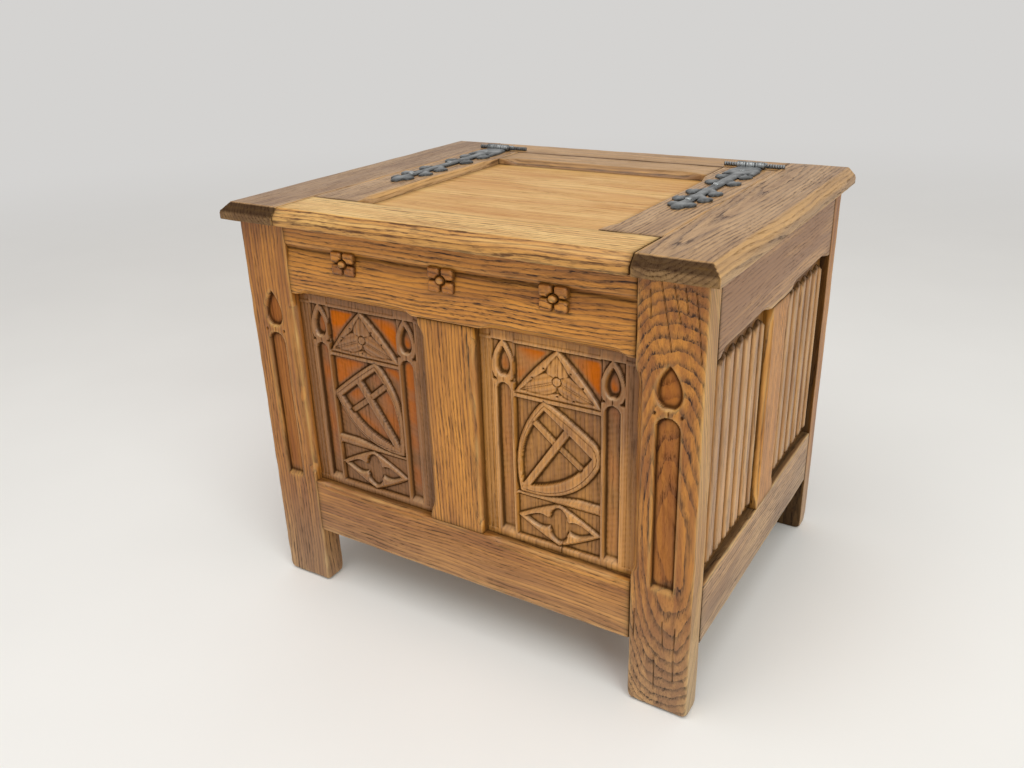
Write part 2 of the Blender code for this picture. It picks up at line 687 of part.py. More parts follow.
def add_lid():
    """The lid's frame and sunk panel: stiles tenoned into the front rail, and the back rail into them."""
    rail_back = LID_FRONT + LID_FRONT_RAIL_WIDTH
    stile_inner = LID_HALF_WIDTH - LID_STILE_WIDTH
    panel_back = LID_BACK - LID_BACK_RAIL_WIDTH
    tenon_heights = (HEIGHT - LID_TENON_SETBACK - LID_TENON_THICKNESS, HEIGHT - LID_TENON_SETBACK)
    mortise_heights = grown(tenon_heights, CLEARANCE)
    panel_heights = (HEIGHT - LID_PANEL_SETBACK - LID_PANEL_THICKNESS, HEIGHT - LID_PANEL_SETBACK)
    groove_heights = grown(panel_heights, CLEARANCE)
    tongue = GROOVE_DEPTH - 2 * CLEARANCE

    front = chamfered_board("lid_front_rail", (-LID_HALF_WIDTH, LID_FRONT, UNDER_TOP),
                            (LID_HALF_WIDTH, rail_back, HEIGHT), "lid_oak", ((1, -1),))
    cut(front, box_shape((-stile_inner - GROOVE_DEPTH, rail_back - GROOVE_DEPTH, groove_heights[0]),
                         (stile_inner + GROOVE_DEPTH, rail_back + OVERCUT, groove_heights[1])))
    back_end = stile_inner - CLEARANCE
    back_shape = box_shape((-back_end, panel_back, UNDER_TOP), (back_end, LID_BACK, HEIGHT))
    back = add_part("lid_back_rail", back_shape, "top_oak")
    cut(back, box_shape((-back_end - OVERCUT, panel_back - OVERCUT, groove_heights[0]),
                        (back_end + OVERCUT, panel_back + GROOVE_DEPTH, groove_heights[1])))
    cut(back, edge_shape((-back_end + CHAMFER_STOP, panel_back, HEIGHT),
                         (back_end - CHAMFER_STOP, panel_back, HEIGHT), LID_CHAMFER))
    back_tenon = (panel_back + LID_TENON_SHOULDER, LID_BACK - LID_TENON_SHOULDER)
    pieces = [front, back]
    for word, side in LEFT_AND_RIGHT:
        stile = add_part(f"lid_{word}_stile",
                         box_shape((side * LID_HALF_WIDTH, rail_back + CLEARANCE, UNDER_TOP),
                                   (side * stile_inner, LID_BACK, HEIGHT)), "top_oak")
        stile_tenon = (side * (stile_inner + LID_TENON_SHOULDER),
                       side * (LID_HALF_WIDTH - LID_TENON_SHOULDER))
        groove_end = side * (stile_inner + GROOVE_DEPTH)
        tenon_end = side * (stile_inner + LID_TENON_LENGTH - CLEARANCE)
        mortise_end = side * (stile_inner + LID_TENON_LENGTH + CLEARANCE)
        join(stile, box_shape((stile_tenon[0], rail_back - LID_TENON_LENGTH + CLEARANCE, tenon_heights[0]),
                              (stile_tenon[1], rail_back + OVERCUT, tenon_heights[1])))
        mortise = grown(stile_tenon, CLEARANCE)
        cut(front, box_shape((mortise[0], rail_back - LID_TENON_LENGTH - CLEARANCE, mortise_heights[0]),
                             (mortise[1], rail_back + OVERCUT, mortise_heights[1])))
        cut(stile, box_shape((side * (stile_inner - OVERCUT), rail_back - OVERCUT, groove_heights[0]),
                             (groove_end, panel_back + GROOVE_DEPTH, groove_heights[1])))
        join(back, box_shape((side * (back_end - OVERCUT), back_tenon[0], tenon_heights[0]),
                             (tenon_end, back_tenon[1], tenon_heights[1])))
        mortise = grown(back_tenon, CLEARANCE)
        cut(stile, box_shape((side * (stile_inner - OVERCUT), mortise[0], mortise_heights[0]),
                             (mortise_end, mortise[1], mortise_heights[1])))
        cut(stile, edge_shape((side * stile_inner, rail_back + CHAMFER_STOP, HEIGHT),
                              (side * stile_inner, panel_back - CHAMFER_STOP, HEIGHT), LID_CHAMFER))
        pieces.append(stile)
    panel_shape = box_shape((-stile_inner - tongue, rail_back - tongue, panel_heights[0]),
                            (stile_inner + tongue, panel_back + tongue, panel_heights[1]))
    pieces.append(add_part("lid_panel", panel_shape, "lid_oak"))
    return pieces


# Hinges

def strap_loop():
    """Leafy strap seen from above: pairs of lobes along a stem, from the barrel at zero to a pointed leaf."""
    neck = BARREL_RADIUS + 2 * CLEARANCE
    half_knuckle = KNUCKLE_LENGTH / 2 - CLEARANCE
    right = [(half_knuckle, 0.0), (half_knuckle, -neck)]
    leafy = STRAP_LENGTH - neck
    steps = 6 * STRAP_LOBES
    for step in range(steps):
        along = step / steps
        wave = abs(math.sin(math.pi * STRAP_LOBES * along + math.radians(60)))
        right.append((STRAP_STEM + STRAP_LOBE * wave, -neck - CLEARANCE - along * leafy))
    left = [(-u, v) for u, v in reversed(right)]
    return right + [(0.0, -STRAP_LENGTH)] + left


def plate_loop():
    """Plate seen from above: a body behind the two outer knuckles, and a long spike to each side."""
    half_barrel = 1.5 * KNUCKLE_LENGTH
    inner = KNUCKLE_LENGTH / 2 + CLEARANCE
    neck = BARREL_RADIUS + 2 * CLEARANCE
    arm_middle = PLATE_DEPTH - 2 * PLATE_ARM
    right = [(inner, neck), (inner, 0.0), (half_barrel, 0.0), (half_barrel, arm_middle - PLATE_ARM),
             (PLATE_SPAN / 2, arm_middle), (half_barrel, arm_middle + PLATE_ARM)]
    left = [(-u, v) for u, v in reversed(right)]
    return right + [(0.0, PLATE_DEPTH)] + left


def iron_plate(name, loop, place):
    return add_part(name, outline_shape([loop], IRON_THICKNESS, Vector((1, 0, 0)), Vector((0, 1, 0)),
                                        Vector((0, 0, 1)), place), "black_iron")


def add_screw(name, place):
    """A turned screw whose head sits on the iron at the given place."""
    top = CLEARANCE + SCREW_HEAD_HEIGHT
    shoulder = (SCREW_HEAD_RADIUS * 0.6, top - SCREW_HEAD_HEIGHT * 0.25)
    profile = ((0.0, top), shoulder, (SCREW_HEAD_RADIUS, CLEARANCE),
               (SCREW_RADIUS, CLEARANCE), (SCREW_RADIUS, -SCREW_LENGTH), (0.0, -SCREW_LENGTH))
    mesh = bpy.data.meshes.new(name)
    shape = bmesh.new()
    ring = [shape.verts.new((radius, 0.0, height)) for radius, height in profile]
    for first, second in zip(ring, ring[1:]):
        shape.edges.new((first, second))
    shape.to_mesh(mesh)
    shape.free()
    screw = add_part(name, (mesh, place), "black_iron")
    turned = screw.modifiers.new("turned", "SCREW")
    turned.steps = ROUND_SIDES
    turned.render_steps = ROUND_SIDES
    turned.use_merge_vertices = True
    turned.merge_threshold = 0.00005
    return screw


def drill(part, place, depth):
    """A hole for a screw, from above the iron down to the given depth under it."""
    top = IRON_THICKNESS + OVERCUT
    middle = Vector(place) + Vector((0.0, 0.0, (top - depth) / 2))
    cut(part, rod_shape(middle, "Z", SCREW_RADIUS + CLEARANCE, top + depth))


def add_hinge(word, side, back_board, lid_pieces):
    """One hinge: a strap on the lid's stile, a plate on the back board, the pin and the screws."""
    place = Vector((side * HINGE_X, HINGE_Y, HEIGHT + CLEARANCE))
    barrel = Vector((place.x, HINGE_Y, HINGE_Z))
    bore = PIN_RADIUS + CLEARANCE
    strap = iron_plate(f"{word}_hinge_strap", strap_loop(), place)
    join(strap, rod_shape(barrel, "X", BARREL_RADIUS, KNUCKLE_LENGTH - 2 * CLEARANCE))
    cut(strap, rod_shape(barrel, "X", bore, KNUCKLE_LENGTH + 2 * OVERCUT))
    plate = iron_plate(f"{word}_hinge_plate", plate_loop(), place)
    for way in (-1, 1):
        knuckle = barrel + Vector((way * KNUCKLE_LENGTH, 0.0, 0.0))
        join(plate, rod_shape(knuckle, "X", BARREL_RADIUS, KNUCKLE_LENGTH - 2 * CLEARANCE))
    cut(plate, rod_shape(barrel, "X", bore, 3 * KNUCKLE_LENGTH + 2 * OVERCUT))

    pin_length = 3 * KNUCKLE_LENGTH
    pin_shape = rod_shape(barrel, "X", PIN_RADIUS, pin_length + PIN_HEAD_LENGTH)
    pin = add_part(f"{word}_hinge_pin", pin_shape, "black_iron")
    for way in (-1, 1):
        head = barrel + Vector((way * (pin_length / 2 + PIN_HEAD_LENGTH / 2), 0.0, 0.0))
        join(pin, rod_shape(head, "X", PIN_HEAD_RADIUS, PIN_HEAD_LENGTH))

    top_of_iron = Vector((0.0, 0.0, IRON_THICKNESS))
    hole_depth = SCREW_LENGTH
    stile = next(piece for piece in lid_pieces if piece.name == f"lid_{word}_stile")
    moving = [strap]
    for number, distance in enumerate(STRAP_SCREW_PLACES):
        hole = place - Vector((0.0, distance, 0.0))
        drill(strap, hole, hole_depth)
        drill(stile, hole, hole_depth)
        moving.append(add_screw(f"{word}_strap_screw_{number + 1}", hole + top_of_iron))
    for number, way in enumerate((-1, 1)):
        hole = place + Vector((way * PLATE_SCREW_OFFSET, PLATE_DEPTH - 2 * PLATE_ARM, 0.0))
        drill(plate, hole, hole_depth)
        drill(back_board, hole, hole_depth)
        add_screw(f"{word}_plate_screw_{number + 1}", hole + top_of_iron)
    return moving


def hang_on_hinge(pieces):
    """Parents the lid's pieces to an empty on the hinge line, so that turning it opens the lid."""
    axis = bpy.data.objects.new("lid_hinge_axis", None)
    axis.location = HINGE_AXIS
    PARTS.objects.link(axis)
    for piece in pieces:
        piece.parent = axis
        piece.location = piece.location - HINGE_AXIS


def main():
    add_legs()
    top_rails = [add_wall_frame(wall) for wall in WALLS]
    carve_front_rail(top_rails[0])
    add_front_panels()
    add_side_panels()
    add_back_panels()
    add_floor()
    back_board = add_fixed_top()
    moving = add_lid()
    lid_pieces = list(moving)
    for word, side in LEFT_AND_RIGHT:
        moving += add_hinge(word, side, back_board, lid_pieces)
    hang_on_hinge(moving)
    print("pieces", sum(1 for part in PARTS.objects if part.type == "MESH"))


main()
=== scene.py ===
# %% [markdown]
# # A carved oak blanket chest
#
# The chest is a framed and panelled box on four legs. Its front has two tracery panels with a tilted
# shield in each, its sides have linenfold panels, and a framed lid lifts on two leafy iron straps.
#
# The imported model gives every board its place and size. This notebook replaces each plain board by a
# worked one: edges are rounded and worn, chamfers end in lamb's tongues, and the carving is cut in depth.

# %% Load the frame
import math

import bpy
import numpy as np
from mathutils import Matrix, Vector


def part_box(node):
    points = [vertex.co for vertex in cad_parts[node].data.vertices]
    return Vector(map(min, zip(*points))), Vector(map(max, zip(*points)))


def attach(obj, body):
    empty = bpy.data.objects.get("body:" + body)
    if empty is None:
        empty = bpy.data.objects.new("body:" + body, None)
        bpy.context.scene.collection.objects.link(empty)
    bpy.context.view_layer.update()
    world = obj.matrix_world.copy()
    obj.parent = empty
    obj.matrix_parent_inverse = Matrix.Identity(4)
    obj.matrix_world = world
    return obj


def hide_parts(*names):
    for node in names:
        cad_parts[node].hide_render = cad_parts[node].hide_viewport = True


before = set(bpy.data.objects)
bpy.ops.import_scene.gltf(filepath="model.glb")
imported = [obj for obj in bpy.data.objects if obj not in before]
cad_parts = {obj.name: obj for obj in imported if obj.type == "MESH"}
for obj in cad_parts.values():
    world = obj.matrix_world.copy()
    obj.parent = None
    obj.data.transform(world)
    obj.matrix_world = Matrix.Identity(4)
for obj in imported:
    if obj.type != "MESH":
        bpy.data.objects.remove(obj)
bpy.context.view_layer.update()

# %% [markdown]
# ## Faces that the boards share
#
# A joiner marks every piece from the same few lines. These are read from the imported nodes, so that the
# worked boards meet where the solids meet.

# %% Shared faces
leg_low, leg_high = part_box("front_right_leg")
SIDE = leg_high[0]
LEG_INNER = leg_low[0]
FRONT = leg_low[1]
LEG_BACK = leg_high[1]
FRAME_TOP = leg_high[2]
back_leg_low, back_leg_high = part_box("back_right_leg")
BACK_LEG_FRONT = back_leg_low[1]
BACK = back_leg_high[1]
FOOT_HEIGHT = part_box("front_bottom_rail")[0][2]
OPENING_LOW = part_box("front_bottom_rail")[1][2]
OPENING_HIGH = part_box("front_top_rail")[0][2]
RAIL_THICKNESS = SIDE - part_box("right_muntin")[0][0]
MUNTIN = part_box("front_muntin")[1][0]
SIDE_MUNTIN_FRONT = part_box("right_muntin")[0][1]
SIDE_MUNTIN_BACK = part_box("right_muntin")[1][1]
PANEL_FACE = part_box("front_left_panel")[0][1]
# The lid's panel lies this far below the frame round it
LID_SINK = 0.008
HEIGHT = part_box("lid_panel")[1][2] + LID_SINK
UNDER_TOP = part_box("lid_front_rail")[0][2]
LEFT_AND_RIGHT = (("left", -1), ("right", 1))
MILLIMETRE = 0.001
# Boards that meet are left apart by this much, which reads as a fine joint line
JOINT = 0.0002
print("side", SIDE, "front", FRONT, "openings", OPENING_LOW, OPENING_HIGH, "panel face", PANEL_FACE)

# %% [markdown]
# ## A board, as a joiner works it
#
# Each board starts as a sawn block. Its show face is a grid fine enough for the carving on it, its edges
# are a few rows of grid running back to a plain rear face, and three tools then shape it:
#
# * a chamfer takes off an edge, and fades out in a curved stop, the lamb's tongue;
# * a rounding takes the sharpness off every edge, a little unevenly, as a century of hands does;
# * a carving function says how deep the gouge goes at each place on the show face.
#
# Every point also keeps its place in the log that the board was sawn from. The oak material draws its
# rings from that, so that end grain, edge and face of one board belong together.

# %% Board tools
# Grid lines at each edge of a board, and the step between those down its sides
EDGE_STEPS = (0.0, 0.0003, 0.0008, 0.0016, 0.003)
DEPTH_STEP = 0.004
# How dark end grain and chamfered ends are, how dark the painted shade of shaded sides is, and how much of
# its stain a rubbed side has lost
END_GRAIN = 0.58
END_CHAMFER = 1.0
SHADED = 0.85
RUBBED = 0.45
# How far wear reaches from an edge, dirt from a joint and wear from the arris of a chamfer
WEAR_REACH = 0.0022
JOINT_REACH = 0.0025
ARRIS_REACH = 0.0011
# Painted shade below an edge deepens over this run
SHADE_RUN = 0.004
# The finest rounding of an edge, and the bends in degrees above which an edge of a board stays sharp
LEAST_ROUNDING = 0.0002
SHARP_CARVED = 62
SHARP_PLAIN = 45
# A point nearer to a side than this lies on it, and a face cut less than this counts as uncut
ON_SIDE = 1e-7
UNCUT = 0.0005
# Each board lies this much further along the log than the one before it
LOG_STEP = 0.37
# Near the floor the oak is painted greyer, a painted reflection of the pale floor
FLOOR_SHEEN = 0.18
FLOOR_SHEEN_HEIGHT = 0.20
AXIS_NUMBERS = {"x": 0, "y": 1, "z": 2}


def smooth(share):
    """A share from 0 to 1 that starts and ends gently."""
    share = np.clip(share, 0.0, 1.0)
    return share * share * (3.0 - 2.0 * share)


def grid_lines(low, high, step):
    """Lines across a board, close together at both edges so that these can be rounded."""
    inner = EDGE_STEPS[-1]
    count = max(1, round((high - low - 2 * inner) / step))
    middle = np.linspace(low + inner, high - inner, count + 1)
    near = [low + edge for edge in EDGE_STEPS[:-1]]
    far = [high - edge for edge in reversed(EDGE_STEPS[:-1])]
    return np.concatenate([near, middle, far])


def waves(points, size, seed):
    """Smooth unevenness from about -1 to 1, made of sine waves in mixed directions."""
    picks = np.random.default_rng(seed)
    total = np.zeros(len(points))
    for wave in range(6):
        direction = picks.normal(size=3)
        direction *= 2 * math.pi * picks.uniform(0.6, 1.6) / size / np.linalg.norm(direction)
        total += np.sin(points @ direction + picks.uniform(0.0, 2 * math.pi))
    return total / 3


def round_edges(points, low, high, radius):
    """Moves points of a block's surface onto the same block with rounded edges."""
    radius = radius[:, None]
    core = np.clip(points, low + radius, high - radius)
    away = points - core
    length = np.maximum(np.linalg.norm(away, axis=1, keepdims=True), 1e-9)
    return core + away * np.minimum(1.0, radius / length)


def blurred(values, passes):
    """A grid of values, each evened out with its neighbours."""
    for step in range(passes):
        padded = np.pad(values, 1, mode="edge")
        values = (padded[:-2, 1:-1] + padded[2:, 1:-1] + padded[1:-1, :-2] + padded[1:-1, 2:]) / 4
    return values


class CarvedFace:
    """A show face while it is carved: depths in millimetres, and shares of stain, painted highlight (shine)
    and shade; the shade is painted shade, patina and cracks.
    """

    def __init__(self, across, height, kept=None, ground_shade=0.22, ridge_wear_and_highlight=0.40):
        self.across = across
        self.height = height
        self.kept = kept
        self.ground_shade = ground_shade
        self.ridge_wear_and_highlight = ridge_wear_and_highlight
        self.depth = np.zeros(across.shape)
        self.stain = np.zeros(across.shape)
        self.shine = np.zeros(across.shape)
        self.shade = np.zeros(across.shape)
        self.patina = np.zeros(across.shape)

    def cut(self, share, level):
        """Cuts the wood to a level, or leaves it standing at it, where the share says so."""
        self.depth = self.depth * (1.0 - share) + level * share

    def dye(self, share, motif):
        """Stains a ground as far as its motif has kept the stain."""
        self.stain = np.maximum(self.stain, share * self.kept[motif])

    def painted_light_and_wear(self, share):
        """Paints a highlight, a lighter colour on the wax, where the share says so."""
        self.shine = np.maximum(self.shine, share)

    # Darkens the face: painted shade in recesses and round the rosettes, and the patina and cracks that call
    # it too
    def darken(self, share):
        self.shade = np.maximum(self.shade, share)


def point_attribute(mesh, name, values):
    kind = "FLOAT_VECTOR" if values.ndim == 2 else "FLOAT"
    field = "vector" if values.ndim == 2 else "value"
    attribute = mesh.attributes.new(name, kind, "POINT")
    attribute.data.foreach_set(field, np.ascontiguousarray(values, dtype=np.float32).ravel())


def dress(piece, body, nodes=()):
    """Puts a finished piece on its body and hides the nodes that it stands for."""
    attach(piece, body)
    if nodes:
        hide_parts(*nodes)


def mesh_object(name, points, faces, material, sharp=40):
    """An object from points and faces, smooth but for edges bent by more than the sharp angle."""
    mesh = bpy.data.meshes.new(name)
    mesh.from_pydata(points.tolist(), [], faces)
    mesh.materials.append(material)
    mesh.shade_smooth()
    mesh.set_sharp_from_angle(angle=math.radians(sharp))
    piece = bpy.data.objects.new(name, mesh)
    bpy.context.scene.collection.objects.link(piece)
    return piece


made_boards = []


def both_sides(*axes):
    """The two sides of a block along each of the axes."""
    return [(axis, sign) for axis in axes for sign in (-1, 1)]


def carving_wear_dirt_and_light(carved, wear_and_highlight, dirt_and_shade):
    """Wear and painted highlight on the ridges of a carving, and dirt and painted shade in its hollows and
    grounds, over what its face had before.
    """
    near = blurred(carved.depth, 5) - carved.depth
    wide = blurred(carved.depth, 24) - carved.depth
    # Wear and a painted highlight on the ridges
    ridge = np.clip(near / 1.5, 0.0, carved.ridge_wear_and_highlight).ravel()
    # Dirt and painted shade: the hollows and deep grounds are darkened as occlusion would shade them
    pit_dirt_and_shade = np.clip(-near / 0.9, 0.0, 0.85) + np.clip(-wide / 4.0, 0.0, 0.30)
    pit_dirt_and_shade = (pit_dirt_and_shade + carved.ground_shade * smooth(carved.depth / 5.0)) * (1.0 - 0.6 * carved.stain)
    # Painted highlights lighten the face and keep the dirt and shade off it
    shine = carved.shine.ravel()
    flat = carved.depth.ravel() * MILLIMETRE < UNCUT
    pit_dirt_and_shade = np.maximum(pit_dirt_and_shade, carved.shade).ravel() * (1.0 - 0.8 * shine)
    return np.maximum(np.maximum(wear_and_highlight * flat, ridge), shine), np.clip(np.maximum(dirt_and_shade, pit_dirt_and_shade), 0.0, 1.0)


def log_places(points, box_low, box_high, log, seed):
    """Where each point of a board lay in its log: across from the pith, out from it and along it."""
    pith_across, pith_depth, drift, bow = log
    middle = (box_low[0] + box_high[0]) / 2
    run = points[:, 1] - (box_low[1] + box_high[1]) / 2
    drifted = drift * run + bow * run ** 2
    return np.stack([points[:, 0] - middle - pith_across, points[:, 2] + pith_depth + drifted,
                     points[:, 1] + LOG_STEP * seed], axis=1)


def block_faces(grid, rim, rings):
    """Faces of a block: its show face, rings of quads down its sides, and one rear face."""
    corners = [grid[:-1, :-1], grid[1:, :-1], grid[1:, 1:], grid[:-1, 1:]]
    strips = [np.stack(corners, axis=-1).reshape(-1, 4)]
    ring_start = rim
    for ring in range(rings):
        ring_end = grid.size + ring * len(rim) + np.arange(len(rim))
        corners = [np.roll(ring_start, -1), ring_start, ring_end, np.roll(ring_end, -1)]
        strips.append(np.stack(corners, axis=1))
        ring_start = ring_end
    return np.concatenate(strips).tolist() + [ring_start[::-1].tolist()]


def board(name, body, slot, spans, face, along, step=(0.005, 0.012), carve=None, chamfers=(), radius=0.0009,
          foot=0.0, joints=(), shaded=(), lightened=(), log=(0.0, 0.07, 0.0, 0.0), tone=0.0, figure=1.0,
          ripple=1.0, rub=RUBBED, overall_shade=0.0, chamfer_wear=0.0, chamfer_tone=0.0, chamfer_figure=0.0,
          uneven=0.00018, shade_start=0.004, fade=0.0, lap=0.0):
    """A worked board from its spans along X, Y and Z, with its show face and its grain along the given axes.

    A chamfer is (axis, sign, size, start, end, stop), for the edge of the show face on that side. Joints
    are the (axis, sign) sides that butt against a neighbour, or lap under it, and so are dark and not worn:
    dirt in the joint, and painted shade on the margin that shows beside a lapped joint. Shaded sides get
    painted shade below the edge, and lightened sides are rubbed and have lost their stain. The log is the
    pith's place across the board and behind its face, how fast the rings drift along the board, and how much
    they bow towards its ends. Tone darkens the oak, figure and ripple strengthen and bend its grain, overall
    shade paints shade over all of it and grey sheen takes its colour out, as a painted reflection.
    """
    seed = len(made_boards) + 11
    low, high = np.array(spans).T
    out = AXIS_NUMBERS[face[1]]
    out_sign = 1 if face[0] == "+" else -1
    length = AXIS_NUMBERS[along]
    across = 3 - out - length
    thickness = high[out] - low[out]

    across_lines = grid_lines(low[across], high[across], step[0])
    length_lines = grid_lines(low[length], high[length], step[1])
    depth_lines = grid_lines(0.0, thickness, DEPTH_STEP)[1:]
    rows, columns = len(across_lines), len(length_lines)
    grid = np.arange(rows * columns).reshape(rows, columns)
    rim = np.concatenate([grid[:-1, 0], grid[-1, :-1], grid[:0:-1, -1], grid[0, :0:-1]])
    across_grid, length_grid = np.meshgrid(across_lines, length_lines, indexing="ij")
    show = np.stack([across_grid.ravel(), length_grid.ravel(), np.zeros(grid.size)], axis=1)
    layers = [show]
    for depth in depth_lines:
        ring = show[rim]
        ring[:, 2] = depth
        layers.append(ring)
    box_low = np.array([low[across], low[length], 0.0])
    box_high = np.array([high[across], high[length], thickness])
    inset = layers[-1].copy()
    inset[:, :2] = np.clip(inset[:, :2], box_low[:2] + EDGE_STEPS[-1], box_high[:2] - EDGE_STEPS[-1])
    layers.append(inset)
    points = np.concatenate(layers)

    # How near each point is to an edge of the block, and to its joints
    walls = np.concatenate([points - box_low, box_high - points], axis=1)
    edge = np.sort(walls, axis=1)[:, 1]
    wear_and_highlight = np.exp(-edge / WEAR_REACH) * (0.6 + 0.4 * waves(points, 0.05, seed))
    # Overall shade paints shade over the whole board, where it sits deep in its frame
    dirt_and_shade = np.full(len(points), overall_shade)
    stain = np.zeros(len(points))
    tones = np.full(len(points), tone)
    figures = np.full(len(points), figure)
    places = {across: 0, length: 1}

    def side_gap(axis, sign):
        """How far each point is from one side of the block."""
        column = places.get(AXIS_NUMBERS[axis], 2)
        far = sign > 0 if column < 2 else sign != out_sign
        return walls[:, column + 3] if far else walls[:, column]

    # Dirt in the joints; where a board laps under its neighbour, the darkening reaches its visible margin as
    # painted shade
    for side in joints:
        dirt_and_shade = np.maximum(dirt_and_shade, np.exp(-np.maximum(side_gap(*side) - lap, 0.0) / JOINT_REACH))
    # Painted shade on the shaded sides, from a little below their edge
    for side in shaded:
        below = smooth((points[:, 2] - shade_start) / SHADE_RUN)
        dirt_and_shade = np.maximum(dirt_and_shade, SHADED * below * (side_gap(*side) < ON_SIDE))
    for side in lightened:
        wear_and_highlight = np.maximum(wear_and_highlight, rub * (side_gap(*side) < ON_SIDE))
    wear_and_highlight = np.clip(wear_and_highlight, 0.0, 1.0) * (1.0 - dirt_and_shade)
    # End grain drinks more stain
    dirt_and_shade = np.maximum(dirt_and_shade, END_GRAIN * (np.minimum(walls[:, 1], walls[:, 4]) < ON_SIDE))

    for axis, sign, size, start, end, stop in chamfers:
        column = places[AXIS_NUMBERS[axis]]
        wall = box_high[column] if sign > 0 else box_low[column]
        run = points[:, 1 - column]
        full = size * smooth((run - start) / stop) * smooth((end - run) / stop)
        gap = full - np.abs(points[:, column] - wall) - points[:, 2]
        beside = smooth((full - np.abs(points[:, column] - wall)) / 0.002)
        cut = np.maximum(gap, 0.0) / 2
        points[:, column] -= sign * cut
        points[:, 2] += cut
        if column == 1:
            dirt_and_shade = np.maximum(dirt_and_shade, END_CHAMFER * smooth(gap / 0.001))
        else:
            wear_and_highlight = np.maximum(wear_and_highlight, chamfer_wear * smooth(gap / 0.002))
            tones = tones + chamfer_tone * beside
            figures = figures + chamfer_figure * beside
        wear_and_highlight = np.maximum(wear_and_highlight, np.exp(-np.abs(gap) / ARRIS_REACH) * (full > 0.001) * 0.4)

    rounding = radius * (1.0 + 0.45 * waves(points, 0.04, seed + 100))
    if foot:
        rounding = rounding + (foot - radius) * smooth(1.0 - (points[:, 1] - box_low[1]) / (2 * foot))
    points = round_edges(points, box_low, box_high, np.maximum(rounding, LEAST_ROUNDING))

    if carve:
        carved = carve(across_grid, length_grid)
        count = grid.size
        wear_and_highlight[:count], dirt_and_shade[:count] = carving_wear_dirt_and_light(carved, wear_and_highlight[:count], dirt_and_shade[:count])
        stain[:count] = carved.stain.ravel()
        tones[:count] += carved.patina.ravel()
        sunk = carved.depth.ravel() * MILLIMETRE
        lift = [sunk] + [sunk[rim] * (1.0 - depth / thickness) for depth in depth_lines]
        lift.append(np.zeros(len(rim)))
        points[:, 2] += np.concatenate(lift)

    for column in range(3):
        points[:, column] += uneven * waves(points, 0.09, seed + 200 + column)
    grain = log_places(points, box_low, box_high, log, seed)

    world = np.empty_like(points)
    world[:, across] = points[:, 0]
    world[:, length] = points[:, 1]
    face_place = high[out] if out_sign > 0 else low[out]
    world[:, out] = face_place - out_sign * points[:, 2]
    if foot:
        world[:, length] = np.maximum(world[:, length], low[length])
    faces = block_faces(grid, rim, len(layers) - 1)
    handed = 1 if (length - across) % 3 == 1 else -1
    if handed * out_sign < 0:
        faces = [corners[::-1] for corners in faces]

    sharp = SHARP_CARVED if carve else SHARP_PLAIN
    piece = mesh_object(name + "_worked", world, faces, MATERIALS[slot], sharp)
    point_attribute(piece.data, "grain", grain)
    # Wear with painted highlight, dirt with painted shade, and stain
    point_attribute(piece.data, "finish_and_painted_light", np.stack([wear_and_highlight, dirt_and_shade, stain], axis=1))
    # The painted grey sheen, near the floor and where a board asks for it
    point_attribute(piece.data, "fade", fade + FLOOR_SHEEN * smooth(1.0 - world[:, 2] / FLOOR_SHEEN_HEIGHT))
    ripples = np.full(len(points), ripple)
    point_attribute(piece.data, "tone", np.stack([tones, figures, ripples], axis=1))
    dress(piece, body, [name])
    made_boards.append(piece)


print("board tools ready")

# %% [markdown]
# ## Oak
#
# Oak is ring porous: each spring the tree lays down a band of open vessels, then denser, smoother wood.
# Cut along the log the vessels show as short dark dashes, crowded into streaks at each ring. Where a
# board is sawn flat, the rings come up as flames, and where it is sawn towards the pith, as straight lines.
#
# A node group draws this once from the log coordinates. Each oak of the chest then has its own colours: the
# worn golden lid, the greyer fixed top, the brown frame and the darker carving with its orange ground.

# %% Oak grain
def add_node(tree, kind, values=(), **settings):
    """Adds a node with its settings, and sets its inputs to values or joins them to sockets."""
    made = tree.nodes.new(kind)
    for key, value in settings.items():
        setattr(made, key, value)
    for key, value in dict(values).items():
        if isinstance(value, bpy.types.NodeSocket):
            tree.links.new(value, made.inputs[key])
        else:
            made.inputs[key].default_value = value
    return made


def math_node(tree, operation, first, second=0.0, third=0.0):
    """One step of arithmetic on values or sockets."""
    values = {0: first, 1: second}
    if operation == "MULTIPLY_ADD":
        values[2] = third
    return add_node(tree, "ShaderNodeMath", values, operation=operation).outputs[0]


def vector_node(tree, operation, first, second):
    """One step of arithmetic on vectors."""
    return add_node(tree, "ShaderNodeVectorMath", {0: first, 1: second}, operation=operation).outputs[0]


def stretched_noise(tree, vector, scale, detail=2.0, roughness=0.5):
    """Noise whose scale differs across and along the grain."""
    scaled = vector_node(tree, "MULTIPLY", vector, scale)
    return add_node(tree, "ShaderNodeTexNoise", {"Vector": scaled, "Scale": 1.0, "Detail": detail,
                                                 "Roughness": roughness})


def ramp(tree, value, low, high, to_low=0.0, to_high=1.0):
    """A value eased from one range into another."""
    values = {"Value": value, "From Min": low, "From Max": high, "To Min": to_low, "To Max": to_high}
    return add_node(tree, "ShaderNodeMapRange", values, interpolation_type="SMOOTHSTEP").outputs[0]


def mix_colour(tree, share, first, second):
    """The first colour, with as much of the second as the share says."""
    made = add_node(tree, "ShaderNodeMix", {0: share, 6: first, 7: second}, data_type="RGBA")
    return made.outputs[2]


RING_WIDTH = 0.0046
# Oak greyed by the painted sheen turns towards yellow by this share of it
SHEEN_HUE = 0.06


